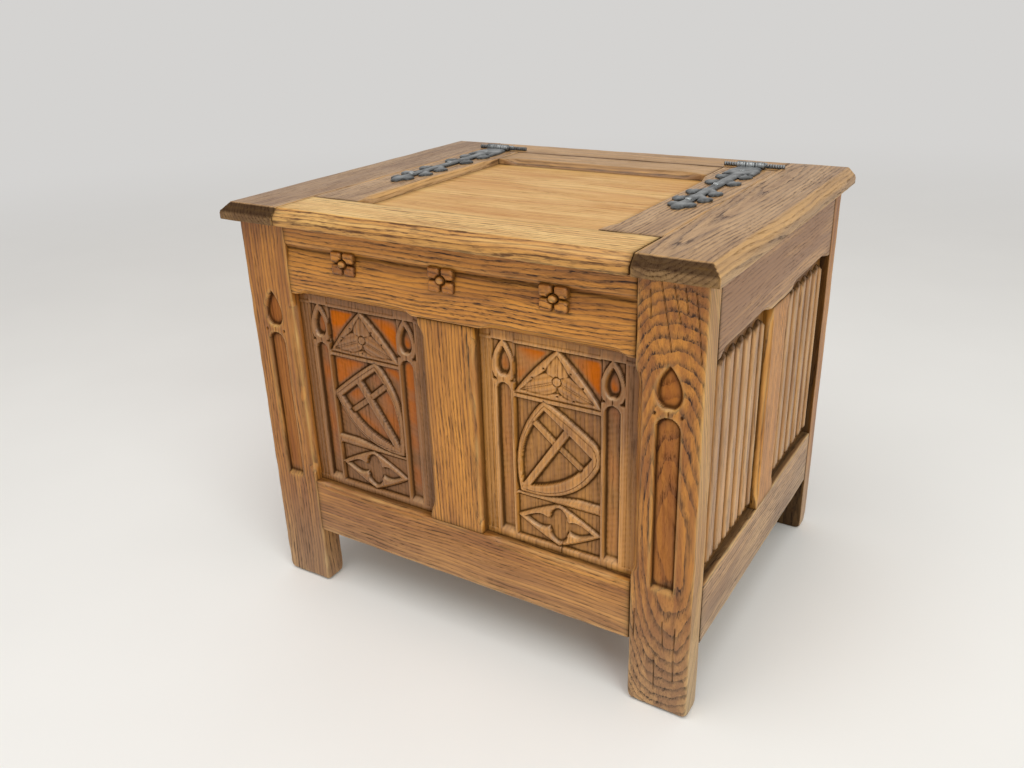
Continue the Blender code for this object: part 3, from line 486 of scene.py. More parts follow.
def build_grain_group():
    """Group from log coordinates to rings, pores, streaks and mottling, each from 0 to 1."""
    tree = bpy.data.node_groups.new("oak grain", "ShaderNodeTree")
    tree.interface.new_socket("Grain", in_out="INPUT", socket_type="NodeSocketVector")
    tree.interface.new_socket("Ripple", in_out="INPUT", socket_type="NodeSocketFloat")
    for word in ("Rings", "Pores", "Streaks", "Mottle"):
        tree.interface.new_socket(word, in_out="OUTPUT", socket_type="NodeSocketFloat")
    given = tree.nodes.new("NodeGroupInput")
    grain = given.outputs["Grain"]
    result = tree.nodes.new("NodeGroupOutput")

    sway = stretched_noise(tree, grain, (9.0, 9.0, 3.2), 2.0).outputs["Color"]
    sway = vector_node(tree, "SUBTRACT", sway, (0.5, 0.5, 0.5))
    sway = vector_node(tree, "MULTIPLY", sway, (0.022, 0.022, 0.0))
    ripple = stretched_noise(tree, grain, (70.0, 70.0, 16.0), 3.0, 0.62).outputs["Color"]
    ripple = vector_node(tree, "SUBTRACT", ripple, (0.5, 0.5, 0.5))
    ripple = vector_node(tree, "MULTIPLY", ripple, (0.0032, 0.0032, 0.0))
    ripple = add_node(tree, "ShaderNodeVectorMath", {0: ripple, "Scale": given.outputs["Ripple"]},
                      operation="SCALE").outputs[0]
    bent = vector_node(tree, "ADD", vector_node(tree, "ADD", grain, sway), ripple)

    flat = vector_node(tree, "MULTIPLY", bent, (1.0, 1.0, 0.0))
    radius = add_node(tree, "ShaderNodeVectorMath", {0: flat}, operation="LENGTH").outputs["Value"]
    ring = math_node(tree, "DIVIDE", radius, RING_WIDTH)
    year = math_node(tree, "FRACT", ring)
    spring = math_node(tree, "SUBTRACT", 1.0, ramp(tree, year, 0.0, 0.62))
    spring = math_node(tree, "MULTIPLY", spring, ramp(tree, year, 0.0, 0.06))

    fine = stretched_noise(tree, bent, (900.0, 900.0, 70.0), 2.0).outputs[0]
    broad = stretched_noise(tree, bent, (340.0, 340.0, 30.0), 3.0, 0.6).outputs[0]
    pores = math_node(tree, "MAXIMUM", ramp(tree, fine, 0.52, 0.66), ramp(tree, broad, 0.51, 0.63))
    crowd = math_node(tree, "MULTIPLY_ADD", spring, 0.70, 0.30)
    patch = ramp(tree, stretched_noise(tree, bent, (44.0, 44.0, 7.0), 2.0).outputs[0], 0.30, 0.62, 0.35, 1.15)
    pores = math_node(tree, "MULTIPLY", pores, math_node(tree, "MULTIPLY", crowd, patch))
    streaks = ramp(tree, stretched_noise(tree, bent, (130.0, 130.0, 4.5), 3.0, 0.6).outputs[0], 0.34, 0.66)
    mottle = ramp(tree, stretched_noise(tree, grain, (26.0, 26.0, 7.0), 2.0).outputs[0], 0.30, 0.72)
    for word, socket in (("Rings", spring), ("Pores", pores), ("Streaks", streaks), ("Mottle", mottle)):
        tree.links.new(socket, result.inputs[word])
    return tree


GRAIN_GROUP = build_grain_group()


def linear(red, green, blue):
    """A colour written as it looks, from 0 to 255, as the linear values that shaders use."""
    shares = [value / 255 for value in (red, green, blue)]
    return [s / 12.92 if s <= 0.04045 else ((s + 0.055) / 1.055) ** 2.4 for s in shares] + [1.0]


def oak_material(name, light, deep, pore, wear_and_highlight, ground, ring_share, pore_share, roughness, coat):
    """Waxed oak: the log's figure, then wear and painted highlights on its edges, dirt and painted shade in
    its corners, stain in its grounds and a painted grey sheen.
    """
    material = bpy.data.materials.new(name)
    material.use_nodes = True
    tree = material.node_tree
    shader = tree.nodes["Principled BSDF"]
    grain = add_node(tree, "ShaderNodeAttribute", attribute_name="grain").outputs["Vector"]
    finish_and_painted_light = add_node(tree, "ShaderNodeAttribute", attribute_name="finish_and_painted_light").outputs["Vector"]
    tone = add_node(tree, "ShaderNodeAttribute", attribute_name="tone").outputs["Vector"]
    tone = add_node(tree, "ShaderNodeSeparateXYZ", {0: tone})
    figure = add_node(tree, "ShaderNodeGroup", node_tree=GRAIN_GROUP)
    tree.links.new(grain, figure.inputs["Grain"])
    tree.links.new(tone.outputs["Z"], figure.inputs["Ripple"])
    parts = add_node(tree, "ShaderNodeSeparateXYZ", {0: finish_and_painted_light})

    depth = math_node(tree, "MULTIPLY_ADD", figure.outputs["Streaks"], 0.48, tone.outputs["X"])
    depth = math_node(tree, "MULTIPLY_ADD", figure.outputs["Mottle"], 0.42, depth)
    colour = mix_colour(tree, depth, light, deep)
    for part, share in (("Rings", ring_share), ("Pores", pore_share)):
        drawn = math_node(tree, "MULTIPLY", figure.outputs[part], share)
        drawn = math_node(tree, "MULTIPLY", drawn, tone.outputs["Y"])
        colour = mix_colour(tree, drawn, colour, pore)
    stained = math_node(tree, "MULTIPLY_ADD", figure.outputs["Pores"], -0.35, 0.95)
    stained = math_node(tree, "MULTIPLY", parts.outputs["Z"], stained)
    colour = mix_colour(tree, stained, colour, ground)
    # Wear, and painted highlights on the carving, lighten the oak towards the worn colour
    lightened = math_node(tree, "MULTIPLY_ADD", figure.outputs["Streaks"], -0.35, 0.75)
    lightened = math_node(tree, "MULTIPLY", parts.outputs["X"], lightened)
    colour = mix_colour(tree, lightened, colour, wear_and_highlight)
    # Dirt, and painted shade in corners, hollows and shaded sides, darken the oak to dark brown
    dirt_and_shade_share = math_node(tree, "MULTIPLY", parts.outputs["Y"], 0.86)
    colour = mix_colour(tree, dirt_and_shade_share, colour, linear(40, 24, 14))
    # The painted grey sheen: a reflection of the pale room, painted as colour taken out
    fade = add_node(tree, "ShaderNodeAttribute", attribute_name="fade").outputs["Fac"]
    colour = add_node(tree, "ShaderNodeHueSaturation", {
        "Hue": math_node(tree, "MULTIPLY_ADD", fade, SHEEN_HUE, 0.5),
        "Saturation": math_node(tree, "SUBTRACT", 1.0, fade), "Color": colour}).outputs[0]
    tree.links.new(colour, shader.inputs["Base Color"])

    gloss = math_node(tree, "MULTIPLY_ADD", figure.outputs["Pores"], 0.22, roughness)
    gloss = math_node(tree, "MULTIPLY_ADD", figure.outputs["Mottle"], 0.08, gloss)
    gloss = math_node(tree, "MULTIPLY_ADD", parts.outputs["Y"], 0.2, gloss)
    gloss = math_node(tree, "MULTIPLY_ADD", parts.outputs["Z"], 0.3, gloss)
    tree.links.new(gloss, shader.inputs["Roughness"])
    # Dirt and painted shade, stained grounds and open pores are dull
    dull = math_node(tree, "MAXIMUM", parts.outputs["Y"], parts.outputs["Z"])
    shine = math_node(tree, "MULTIPLY_ADD", dull, -0.42, 0.5)
    shine = math_node(tree, "MULTIPLY_ADD", figure.outputs["Pores"], -0.25, shine)
    shine = math_node(tree, "MAXIMUM", shine, 0.05)
    tree.links.new(shine, shader.inputs["Specular IOR Level"])
    waxed = math_node(tree, "MULTIPLY_ADD", dull, -coat, coat)
    tree.links.new(waxed, shader.inputs["Coat Weight"])
    shader.inputs["Coat Roughness"].default_value = 0.30
    hollow = math_node(tree, "MULTIPLY_ADD", figure.outputs["Rings"], 0.3, figure.outputs["Pores"])
    values = {"Strength": 0.35, "Distance": 0.0004, "Height": hollow}
    bump = add_node(tree, "ShaderNodeBump", values, invert=True)
    tree.links.new(bump.outputs[0], shader.inputs["Normal"])
    return material


MATERIALS = {
    "frame_oak": oak_material(
        "frame oak", light=linear(218, 143, 44), deep=linear(150, 87, 20), pore=linear(46, 22, 7),
        wear_and_highlight=linear(208, 164, 94), ground=linear(184, 98, 20),
        ring_share=0.50, pore_share=0.97, roughness=0.46, coat=0.25),
    "carved_oak": oak_material(
        "carved oak", light=linear(216, 146, 56), deep=linear(150, 93, 30), pore=linear(56, 30, 11),
        wear_and_highlight=linear(206, 168, 124), ground=linear(206, 104, 14),
        ring_share=0.34, pore_share=0.80, roughness=0.40, coat=0.70),
    "top_oak": oak_material(
        "top oak", light=linear(186, 144, 94), deep=linear(134, 96, 60), pore=linear(66, 42, 26),
        wear_and_highlight=linear(214, 160, 84), ground=linear(160, 90, 40),
        ring_share=0.48, pore_share=0.92, roughness=0.40, coat=0.18),
    "lid_oak": oak_material(
        "lid oak", light=linear(228, 184, 110), deep=linear(192, 134, 62), pore=linear(82, 44, 14),
        wear_and_highlight=linear(230, 186, 112), ground=linear(170, 100, 50),
        ring_share=0.34, pore_share=0.92, roughness=0.44, coat=0.12),
    "inner_oak": oak_material(
        "inner oak", light=linear(206, 166, 116), deep=linear(172, 128, 82), pore=linear(100, 66, 38),
        wear_and_highlight=linear(214, 178, 130), ground=linear(160, 100, 50),
        ring_share=0.32, pore_share=0.70, roughness=0.60, coat=0.0),
}
print("materials", list(MATERIALS))

# %% [markdown]
# ## Legs
#
# Each leg is a plank 70 mm wide. The front ones have a sunk lancet: a tall slot on a sloped sill, pinched
# into a knot, and over it a pointed drop. A carver sets it out with a compass, stabs the outline with
# gouges and grounds it out, so the walls lean a little and the arrises catch wax and light.
#
# The inner edges are chamfered between the rails, because a chamfer protects the edge beside a panel.

# %% Lancets and legs
def soft(distance, slope=1.0):
    """Share of a cut, from 0 outside to 1 inside, across a leaning wall; all in millimetres."""
    return smooth(0.5 - distance / slope)


def path_distance(across, height, points, closed=False):
    """Distance from each place to a line through the points."""
    points = list(points)
    ends = points[1:] + points[:1] if closed else points[1:]
    nearest = np.full(across.shape, 1e6)
    for (x0, z0), (x1, z1) in zip(points, ends):
        length = max((x1 - x0) ** 2 + (z1 - z0) ** 2, 1e-9)
        share = np.clip(((across - x0) * (x1 - x0) + (height - z0) * (z1 - z0)) / length, 0.0, 1.0)
        gap = np.hypot(across - x0 - share * (x1 - x0), height - z0 - share * (z1 - z0))
        nearest = np.minimum(nearest, gap)
    return nearest


# A drop is this much wider than the slot under it
DROP_WIDTH = 1.18


def drop_edge(across, height, half, low, high):
    """Distance outside a pointed drop, round at its foot, from its middle line and its height."""
    share = np.clip((height - low) / (high - low), 0.0, 1.0)
    belly = 0.36
    lower = np.sqrt(np.clip(1.0 - (1.0 - share / belly) ** 2, 0.0, 1.0))
    upper = np.cos((share - belly) / (1.0 - belly) * math.pi / 2) ** 0.8
    width = half * np.where(share < belly, lower, np.clip(upper, 0.0, 1.0))
    beyond = np.maximum(low - height, height - high)
    return np.maximum(np.abs(across) - width, beyond)


def carve_lancet(face, across, half, low, knot, apex, ground):
    """A slot on a sloped sill, pinched into a knot, with a scooped drop over it; in millimetres."""
    height = face.height
    head = knot - 2.0 - half
    arch = np.hypot(across, np.maximum(height - head, 0.0))
    slot_edge = np.where(height > head, arch, np.abs(across)) - half
    slot = soft(slot_edge, 1.6) * (height > low)
    sill = smooth((height - low) / 9.0)
    face.cut(slot, np.maximum(ground * sill, 0.2))
    face.dye(slot * smooth((height - low - 11.0) / 6.0), "slot")
    # Painted highlight on the sill, which faces up
    face.painted_light_and_wear(0.45 * soft(slot_edge + 1.0, 1.5) * soft(np.abs(height - low - 4.0) - 3.0, 2.0))
    drop = drop_edge(across, height, half * DROP_WIDTH, knot + 5.0, apex - 3.5)
    scoop = smooth(-drop / 5.0)
    face.cut(soft(drop, 0.8), 0.4 + (ground + 0.4) * scoop)
    face.dye(smooth((scoop - 0.55) / 0.4), "drop")
    # Painted highlight on the lip under the drop
    lip = np.abs(drop + 1.2) - 1.4
    face.painted_light_and_wear(0.95 * soft(lip, 2.0) * soft(height - knot - 0.20 * (apex - knot), 5.0))
    for side in (-1, 1):
        eyelet = np.hypot(across - side * half * 1.08, (height - knot - 1.5) * 0.7) - 1.1
        face.cut(soft(eyelet, 2.4), ground * 0.45)
    notch = np.maximum(np.abs(across) - 0.6, np.abs(height - knot - 2.0) - 3.0)
    face.cut(soft(notch, 1.6), 1.6)


def crack(face, points, half=0.4):
    """A drying crack along a line of points, dark and a little open."""
    gap = path_distance(face.across, face.height, points) - half
    face.darken(soft(gap, 1.6))
    face.depth = face.depth + 1.2 * soft(gap, 1.6)


LEG_MIDDLE = (SIDE + LEG_INNER) / 2
# The lancet of a leg: half its width, the foot of its slot, its knot, its tip and its depth, in millimetres
LEG_SLOT_HALF = 13.0
LEG_SLOT_LOW = 155.0
LEG_KNOT = 361.0
LEG_APEX = 418.0
LEG_GROUND = 4.8
# How much of the orange stain the slot and the drop have kept
LEG_STAIN = {"slot": 0.28, "drop": 0.42}
# Drying cracks of the right front leg, from its middle line and the floor, in millimetres
LEG_CRACKS = (
    ((-12.0, 497.0), (-6.0, 466.0), (1.0, 428.0)),
    ((1.0, 493.0), (5.0, 474.0), (9.0, 457.0)),
    ((12.0, 491.0), (15.0, 468.0)),
    ((22.0, 489.0), (27.0, 455.0), (31.0, 421.0)),
    ((-22.0, 486.0), (-20.5, 458.0)),
    ((-30.0, 402.0), (-29.5, 378.0)),
    ((-29.0, 126.0), (-30.0, 90.0)),
    ((3.0, 121.0), (5.0, 86.0)),
    ((18.0, 117.0), (17.0, 82.0), (17.5, 46.0)),
    ((-5.0, 74.0), (-4.0, 26.0)),
)


def leg_carving(across, along):
    """The lancet of a front leg, and the cracks of the right one."""
    middle = math.copysign(LEG_MIDDLE, across.mean())
    face = CarvedFace((across - middle) / MILLIMETRE, along / MILLIMETRE, LEG_STAIN)
    carve_lancet(face, face.across, LEG_SLOT_HALF, LEG_SLOT_LOW, LEG_KNOT, LEG_APEX, LEG_GROUND)
    if middle > 0:
        for points in LEG_CRACKS:
            crack(face, points)
    return face


LEG_CHAMFER = 0.008
LEG_ROUNDING = 0.0016
FOOT_ROUNDING = 0.006
# A chamfer beside a panel starts this far inside its opening, and fades out over the stop
CHAMFER_INSET = 0.004
CHAMFER_STOP = 0.020
leg_height = (0.0, FRAME_TOP)
for word, side in LEFT_AND_RIGHT:
    width = sorted((side * SIDE, side * LEG_INNER))
    inner_chamfer = ("x", -side, LEG_CHAMFER, OPENING_LOW + CHAMFER_INSET, OPENING_HIGH - CHAMFER_INSET,
                     CHAMFER_STOP)
    # The right leg was sawn near the pith of a bowed log, which gives it arches of figure
    flame = (0.008, 0.030, 0.02, 0.85) if side > 0 else (0.07, 0.03, 0.02, 0.0)
    board(f"front_{word}_leg", "carcass", "frame_oak", (width, (FRONT, LEG_BACK), leg_height), "-y", "z",
          step=(0.0011, 0.0014), carve=leg_carving, chamfers=[inner_chamfer], radius=LEG_ROUNDING,
          foot=FOOT_ROUNDING, log=flame, lightened=[("x", side)], rub=0.65, tone=0.36,
          figure=1.05 if side > 0 else 0.85, ripple=1.5 if side > 0 else 1.2)
    # The back leg's front face lies deep beside the side panel, so its joint darkening is also painted shade
    board(f"back_{word}_leg", "carcass", "frame_oak", (width, (BACK_LEG_FRONT, BACK), leg_height), "+y", "z",
          radius=LEG_ROUNDING, foot=FOOT_ROUNDING, joints=[("y", -1)], log=(0.05, 0.04, 0.03, 0.0), tone=0.15)
print("legs", [piece.name for piece in made_boards])

# %% [markdown]
# ## Frames
#
# Rails and muntins are tenoned into the legs and into each other. The edges round the panels have stopped
# chamfers on the front and the sides. The front top rail has a hollow, deepest under a sharp arris, for
# the rosettes.

# %% Frames of the four walls
HOLLOW_TOP = FRAME_TOP - 0.0217
HOLLOW_HEIGHT = 0.030
HOLLOW_DEPTH = 0.006
ROSETTE_SPACING = 0.136
ROSETTE_HEIGHT = OPENING_HIGH + 0.047
# The flowers are a little wider than they are high
ROSETTE_SQUAT = 0.84
# Half the width of a flower, in millimetres
ROSETTE_HALF = 16.0


def hollow_carving(across, along):
    """The hollow that runs along the front top rail, with painted shadow round the rosettes."""
    face = CarvedFace(along / MILLIMETRE, across / MILLIMETRE)
    fall = (HOLLOW_TOP - across) / HOLLOW_HEIGHT
    face.depth = HOLLOW_DEPTH / MILLIMETRE * smooth(fall / 0.30) * np.clip(1.0 - fall, 0.0, 1.0)
    for step in (-1, 0, 1):
        away_x = np.abs(along - step * ROSETTE_SPACING) / MILLIMETRE - ROSETTE_HALF
        away_z = np.abs(across - ROSETTE_HEIGHT) / MILLIMETRE - ROSETTE_HALF * ROSETTE_SQUAT
        # Painted shadow round each rosette
        face.darken(0.55 * soft(np.maximum(away_x, away_z) - 1.0, 6.0))
    return face


FRAME_CHAMFER = 0.008
FRAME_STEP = (0.002, 0.003)


def rail(name, spans, face, along, edge, openings=(), size=FRAME_CHAMFER, **settings):
    """A rail with a stopped chamfer on its panel edge along each of the openings."""
    chamfers = [("z", edge, size, start + CHAMFER_INSET, end - CHAMFER_INSET, CHAMFER_STOP)
                for start, end in openings]
    board(name, "carcass", "frame_oak", spans, face, along, chamfers=chamfers, joints=both_sides(along),
          **settings)


def muntin(name, spans, face, across, size=FRAME_CHAMFER):
    """An upright between two panels, chamfered on both edges."""
    chamfers = [(axis, sign, size, OPENING_LOW + CHAMFER_INSET, OPENING_HIGH - CHAMFER_INSET, CHAMFER_STOP)
                for axis, sign in both_sides(across) if size]
    board(name, "carcass", "frame_oak", spans, face, "z", chamfers=chamfers, step=FRAME_STEP,
          joints=both_sides("z"), shaded=both_sides(across), log=(0.10, 0.015, 0.01, 0.0))


def outward(side):
    """The show face of a board in a side wall."""
    return "-x" if side < 0 else "+x"


def wall_span(side, outer, thickness):
    """Span along X of a board in a side wall, from the place of its outer face."""
    return sorted((side * outer, side * (outer - thickness)))


upper = (OPENING_HIGH, FRAME_TOP)
lower = (FOOT_HEIGHT, OPENING_LOW)
upright = (OPENING_LOW + JOINT, OPENING_HIGH - JOINT)
front_width = (-LEG_INNER + JOINT, LEG_INNER - JOINT)
front_depth = (FRONT, FRONT + RAIL_THICKNESS)
back_depth = (BACK - RAIL_THICKNESS, BACK)
front_openings = ((-LEG_INNER, -MUNTIN), (MUNTIN, LEG_INNER))
rail("front_top_rail", (front_width, front_depth, upper), "-y", "x", -1, front_openings,
     step=(0.0012, 0.0035), carve=hollow_carving, log=(0.06, 0.02, 0.03, 0.1), tone=0.08, figure=1.1,
     ripple=1.8)
rail("front_bottom_rail", (front_width, front_depth, lower), "-y", "x", 1, front_openings, step=FRAME_STEP,
     log=(-0.08, 0.03, 0.02, 0.0), tone=0.25, figure=0.8, shaded=[("z", 1)])
rail("back_top_rail", (front_width, back_depth, upper), "+y", "x", -1, log=(0.06, 0.02, 0.03, 0.0),
     tone=0.15)
rail("back_bottom_rail", (front_width, back_depth, lower), "+y", "x", 1, log=(-0.02, 0.06, 0.02, 0.0),
     tone=0.15)

# Painted sheen: the sides are greyed a little, as a grazing reflection of the white room greys them
SIDE_SHEEN = 0.13
# Their lower rails and muntins have finer chamfers than the front
SIDE_RAIL_CHAMFER = 0.0015
SIDE_MUNTIN_CHAMFER = 0.005
side_length = (LEG_BACK + JOINT, BACK_LEG_FRONT - JOINT)
side_openings = ((LEG_BACK, SIDE_MUNTIN_FRONT), (SIDE_MUNTIN_BACK, BACK_LEG_FRONT))
for word, side in LEFT_AND_RIGHT:
    depth = wall_span(side, SIDE, RAIL_THICKNESS)
    rail(f"{word}_top_rail", (depth, side_length, upper), outward(side), "y", -1, side_openings,
         step=FRAME_STEP, log=(0.08, 0.02, 0.02, 0.0), tone=0.52, figure=0.55, fade=SIDE_SHEEN)
    rail(f"{word}_bottom_rail", (depth, side_length, lower), outward(side), "y", 1, side_openings,
         SIDE_RAIL_CHAMFER, step=FRAME_STEP, log=(-0.06, 0.03, 0.02, 0.0), tone=0.30, figure=0.9,
         ripple=1.6, shaded=[("z", 1)], shade_start=0.0005, fade=SIDE_SHEEN)
muntin("front_muntin", ((-MUNTIN, MUNTIN), front_depth, upright), "-y", "x")
muntin("back_muntin", ((-MUNTIN, MUNTIN), back_depth, upright), "+y", "x", 0.0)
for word, side in LEFT_AND_RIGHT:
    spans = (wall_span(side, SIDE, RAIL_THICKNESS), (SIDE_MUNTIN_FRONT, SIDE_MUNTIN_BACK), upright)
    muntin(f"{word}_muntin", spans, outward(side), "y", SIDE_MUNTIN_CHAMFER)
print("frames", len(made_boards), "boards so far")

# %% [markdown]
# ## Tracery panels
#
# The two front panels mirror each other. Two lancets flank a sunk field with three motifs: a gable with a
# three-leaved flower, a tilted shield with a cross, and a lozenge with a four-lobed opening. The grounds
# were stained orange before waxing.
#
# The carving is drawn the way a carver draws it on the board: outlines first, then each form is left
# standing or taken down to its own level. A soft step between levels gives the lean of the gouge.

# %% Tracery
def inside(across, height, points):
    """Whether each place lies within a closed outline."""
    found = np.zeros(across.shape, dtype=bool)
    for (x0, z0), (x1, z1) in zip(points, points[1:] + points[:1]):
        crosses = (z0 > height) != (z1 > height)
        reach = x0 + (height - z0) * (x1 - x0) / (z1 - z0 if z1 != z0 else 1e-9)
        found ^= crosses & (across < reach)
    return found


def outline_distance(across, height, points):
    """Distance outside an outline, negative within it."""
    gap = path_distance(across, height, points, True)
    return np.where(inside(across, height, points), -gap, gap)


def bowed(start, end, bulge, steps=10):
    """Points of a bowed line, which stands out to the left of its way by the bulge."""
    start = np.array(start)
    end = np.array(end)
    normal = np.array([start[1] - end[1], end[0] - start[0]])
    normal /= np.linalg.norm(normal)
    points = []
    for step in range(steps):
        share = step / steps
        points.append(tuple(start + (end - start) * share + normal * bulge * 4 * share * (1 - share)))
    return points


def leaf_edge(across, height, root, tip, half, belly=0.8):
    """Distances outside a pointed leaf and from its middle line; a small belly is near the root."""
    way = np.array(tip) - np.array(root)
    length = np.linalg.norm(way)
    way = way / length
    run = ((across - root[0]) * way[0] + (height - root[1]) * way[1]) / length
    off = np.abs((across - root[0]) * way[1] - (height - root[1]) * way[0])
    width = half * np.sin(np.pi * np.clip(run, 0.0, 1.0) ** belly)
    return np.maximum(off - width, length * np.maximum(-run, run - 1.0)), off


# Places on a front panel, from its middle line and the floor, in millimetres
COLUMN = 65.0
STRAND = 14.0
BEAD = 11.4
SLOT_HALF = 8.8
SLOT_LOW = 164.0
FIELD_HALF = 52.0
FIELD_LOW = 166.0
FIELD_HIGH = 401.0
KNOT = 355.0
GROUND = 5.6
GABLE_BASE = 344.0
GABLE_APEX = (1.0, 402.0)
GABLE_LEFT = (-53.0, GABLE_BASE)
GABLE_RIGHT = (53.0, GABLE_BASE)
BASE_BAR = 341.6
BOSS = (0.5, 366.5)
# The leaves of the gable's flower, each by its tip and half its width
GABLE_LEAVES = (((1.0, 397.0), 13.0), ((-44.0, 349.5), 12.0), ((45.0, 349.5), 12.0))
GABLE_EYELETS = ((-15.0, 379.0), (17.0, 378.5), (1.0, 350.0), (-29.0, 366.0), (31.0, 365.0), (20.0, 348.0))
SHIELD_TOP = (-16.0, 342.0)
SHIELD_POINT = (-48.0, 224.0)
# The shield's side corner, round on the right panel and sharp on the left one
ROUND_CORNER = ((45.0, 304.0), (50.0, 297.0), (52.0, 288.0), (51.0, 279.0))
SHARP_CORNER = ((51.5, 292.5), (53.5, 288.0), (51.5, 283.5))
# The sunk field within the rim has three sharp corners: at its top, at the side and at its point
SHIELD_FIELD = ((-15.5, 330.5), (42.0, 287.0), (-43.5, 233.5))
# The bars of its cross: where each starts and ends, half its width and how deep its face lies
SHIELD_BARS = (
    ((-28.0, 312.5), (0.0, 290.0), 3.4, 2.4),
    ((0.0, 290.0), (34.0, 265.0), 3.2, 3.6),
    ((15.0, 315.0), (-41.0, 232.0), 4.0, 0.7),
)
# The sloping bar under the shield
TRANSOM = [(54.0, 231.5), (24.0, 231.0), (-14.0, 224.5), (-54.0, 222.0), (-54.0, 219.0), (54.0, 219.0)]
# The flutes along both outer edges
FLUTES = (82.0, 87.5)
LOZENGE = ((-52.0, 192.5), (1.0, 219.0), (53.0, 193.0), (1.0, 165.5))


def carve_columns(face):
    """The two lancets that stand beside the field, with beads along their strands."""
    offset = np.abs(face.across) - COLUMN
    height = face.height
    column = np.abs(offset) - STRAND
    face.cut(soft(column, 1.2), 0.2)
    head = (height > KNOT) * (height < FIELD_HIGH + 1.0)
    face.cut(soft(column + 0.5, 1.2) * head, 3.4)
    face.cut(soft(drop_edge(offset, height, STRAND, KNOT - 3.0, FIELD_HIGH + 2.0), 1.2), 0.2)
    carve_lancet(face, offset, SLOT_HALF, SLOT_LOW, KNOT, FIELD_HIGH - 1.0, GROUND)
    bead = np.abs(np.abs(offset) - BEAD) - 0.5
    straight = soft(height - KNOT + 6.0, 4.0) * soft(SLOT_LOW + 4.0 - height, 3.0)
    face.depth = face.depth + 0.6 * soft(bead, 1.2) * straight


def bevelled(face, edge, width, foot):
    """Leaves a form standing, with a bevel down to its foot all round, and a painted highlight where it looks
    up.
    """
    rise = np.clip(-edge / width, 0.0, 1.0)
    stands = soft(edge, 1.2)
    face.cut(stands, 0.2 + (foot - 0.2) * (1.0 - rise))
    # Painted highlight where the bevel faces up
    upward = np.clip(np.gradient(edge, face.height[0], axis=1), 0.0, 1.0)
    face.painted_light_and_wear(0.7 * upward * stands * (1.0 - rise))


def carve_gable(face):
    """A gable with convex sides on a base bar, and a flower of three leaves round a boss."""
    across, height = face.across, face.height
    sides = bowed(GABLE_LEFT, GABLE_APEX, 2.5) + bowed(GABLE_APEX, GABLE_RIGHT, 2.5)
    gable = outline_distance(across, height, sides + [GABLE_RIGHT])
    ground = soft(4.0 - gable, 6.0) * soft(GABLE_BASE - height, 1.0)
    face.dye(ground * soft(height - FIELD_HIGH + 4.0, 6.0), "spandrel")
    bevelled(face, gable, 3.4, 2.4)
    face.cut(soft(gable + 8.0, 2.2), 3.0)
    face.cut(soft(np.abs(height - BASE_BAR) - 2.4, 1.4), 0.7)
    for tip, half in GABLE_LEAVES:
        leaf, off = leaf_edge(across, height, BOSS, tip, half, 0.6)
        crease = 1.0 * soft(np.abs(off - 1.0) - 0.3, 1.4)
        folded = 0.25 * np.sin(off * 1.1) * np.clip(off / 3.0, 0.0, 1.0)
        face.cut(soft(leaf, 2.2), 2.3 + crease + folded - 1.7 * np.sqrt(np.clip(-leaf / 7.0, 0.0, 1.0)))
    for place in GABLE_EYELETS:
        eyelet = np.hypot(across - place[0], (height - place[1]) * 1.2) - 1.2
        face.cut(soft(eyelet, 2.2), GROUND * 0.6)
    knob = np.hypot(across - BOSS[0], height - BOSS[1])
    face.cut(soft(knob - 5.6, 1.4), 3.4)
    dome = 1.2 - 1.7 * np.sqrt(np.clip(1.0 - (knob / 4.8) ** 2, 0.0, 1.0))
    face.cut(soft(knob - 4.8, 0.8), dome)


def carve_shield(face, corner):
    """A tilted shield with a grooved rim, with a cross of bars in it and a sloping bar under it."""
    across, height = face.across, face.height
    bevelled(face, outline_distance(across, height, TRANSOM), 4.5, 3.6)
    outline = bowed(SHIELD_TOP, corner[0], 1.0) + list(corner[:-1])
    outline += bowed(corner[-1], SHIELD_POINT, 19.5, 14)
    outline += bowed(SHIELD_POINT, SHIELD_TOP, 16.5, 14)
    shield = outline_distance(across, height, outline)
    top, side, point = SHIELD_FIELD
    sunk = bowed(top, side, 0.5) + bowed(side, point, 12.5, 14) + bowed(point, top, 12.5, 14)
    sunk = outline_distance(across, height, sunk)
    field = soft(-shield + 3.0, 6.0) * soft(height - 338.0, 5.0) * soft(262.0 - height, 40.0)
    face.dye(field, "field")
    face.dye(soft(sunk + 2.0, 3.0), "shield")
    bevelled(face, shield, 4.2, 2.8)
    face.cut(soft(np.abs(shield + 4.6) - 0.5, 1.4), 1.6)
    face.cut(soft(sunk, 1.6), GROUND)
    within = soft(sunk - 1.5, 1.0)
    for start, end, half, level in SHIELD_BARS:
        gap = path_distance(across, height, [start, end]) - half
        face.cut(soft(gap, 1.3) * within, level)


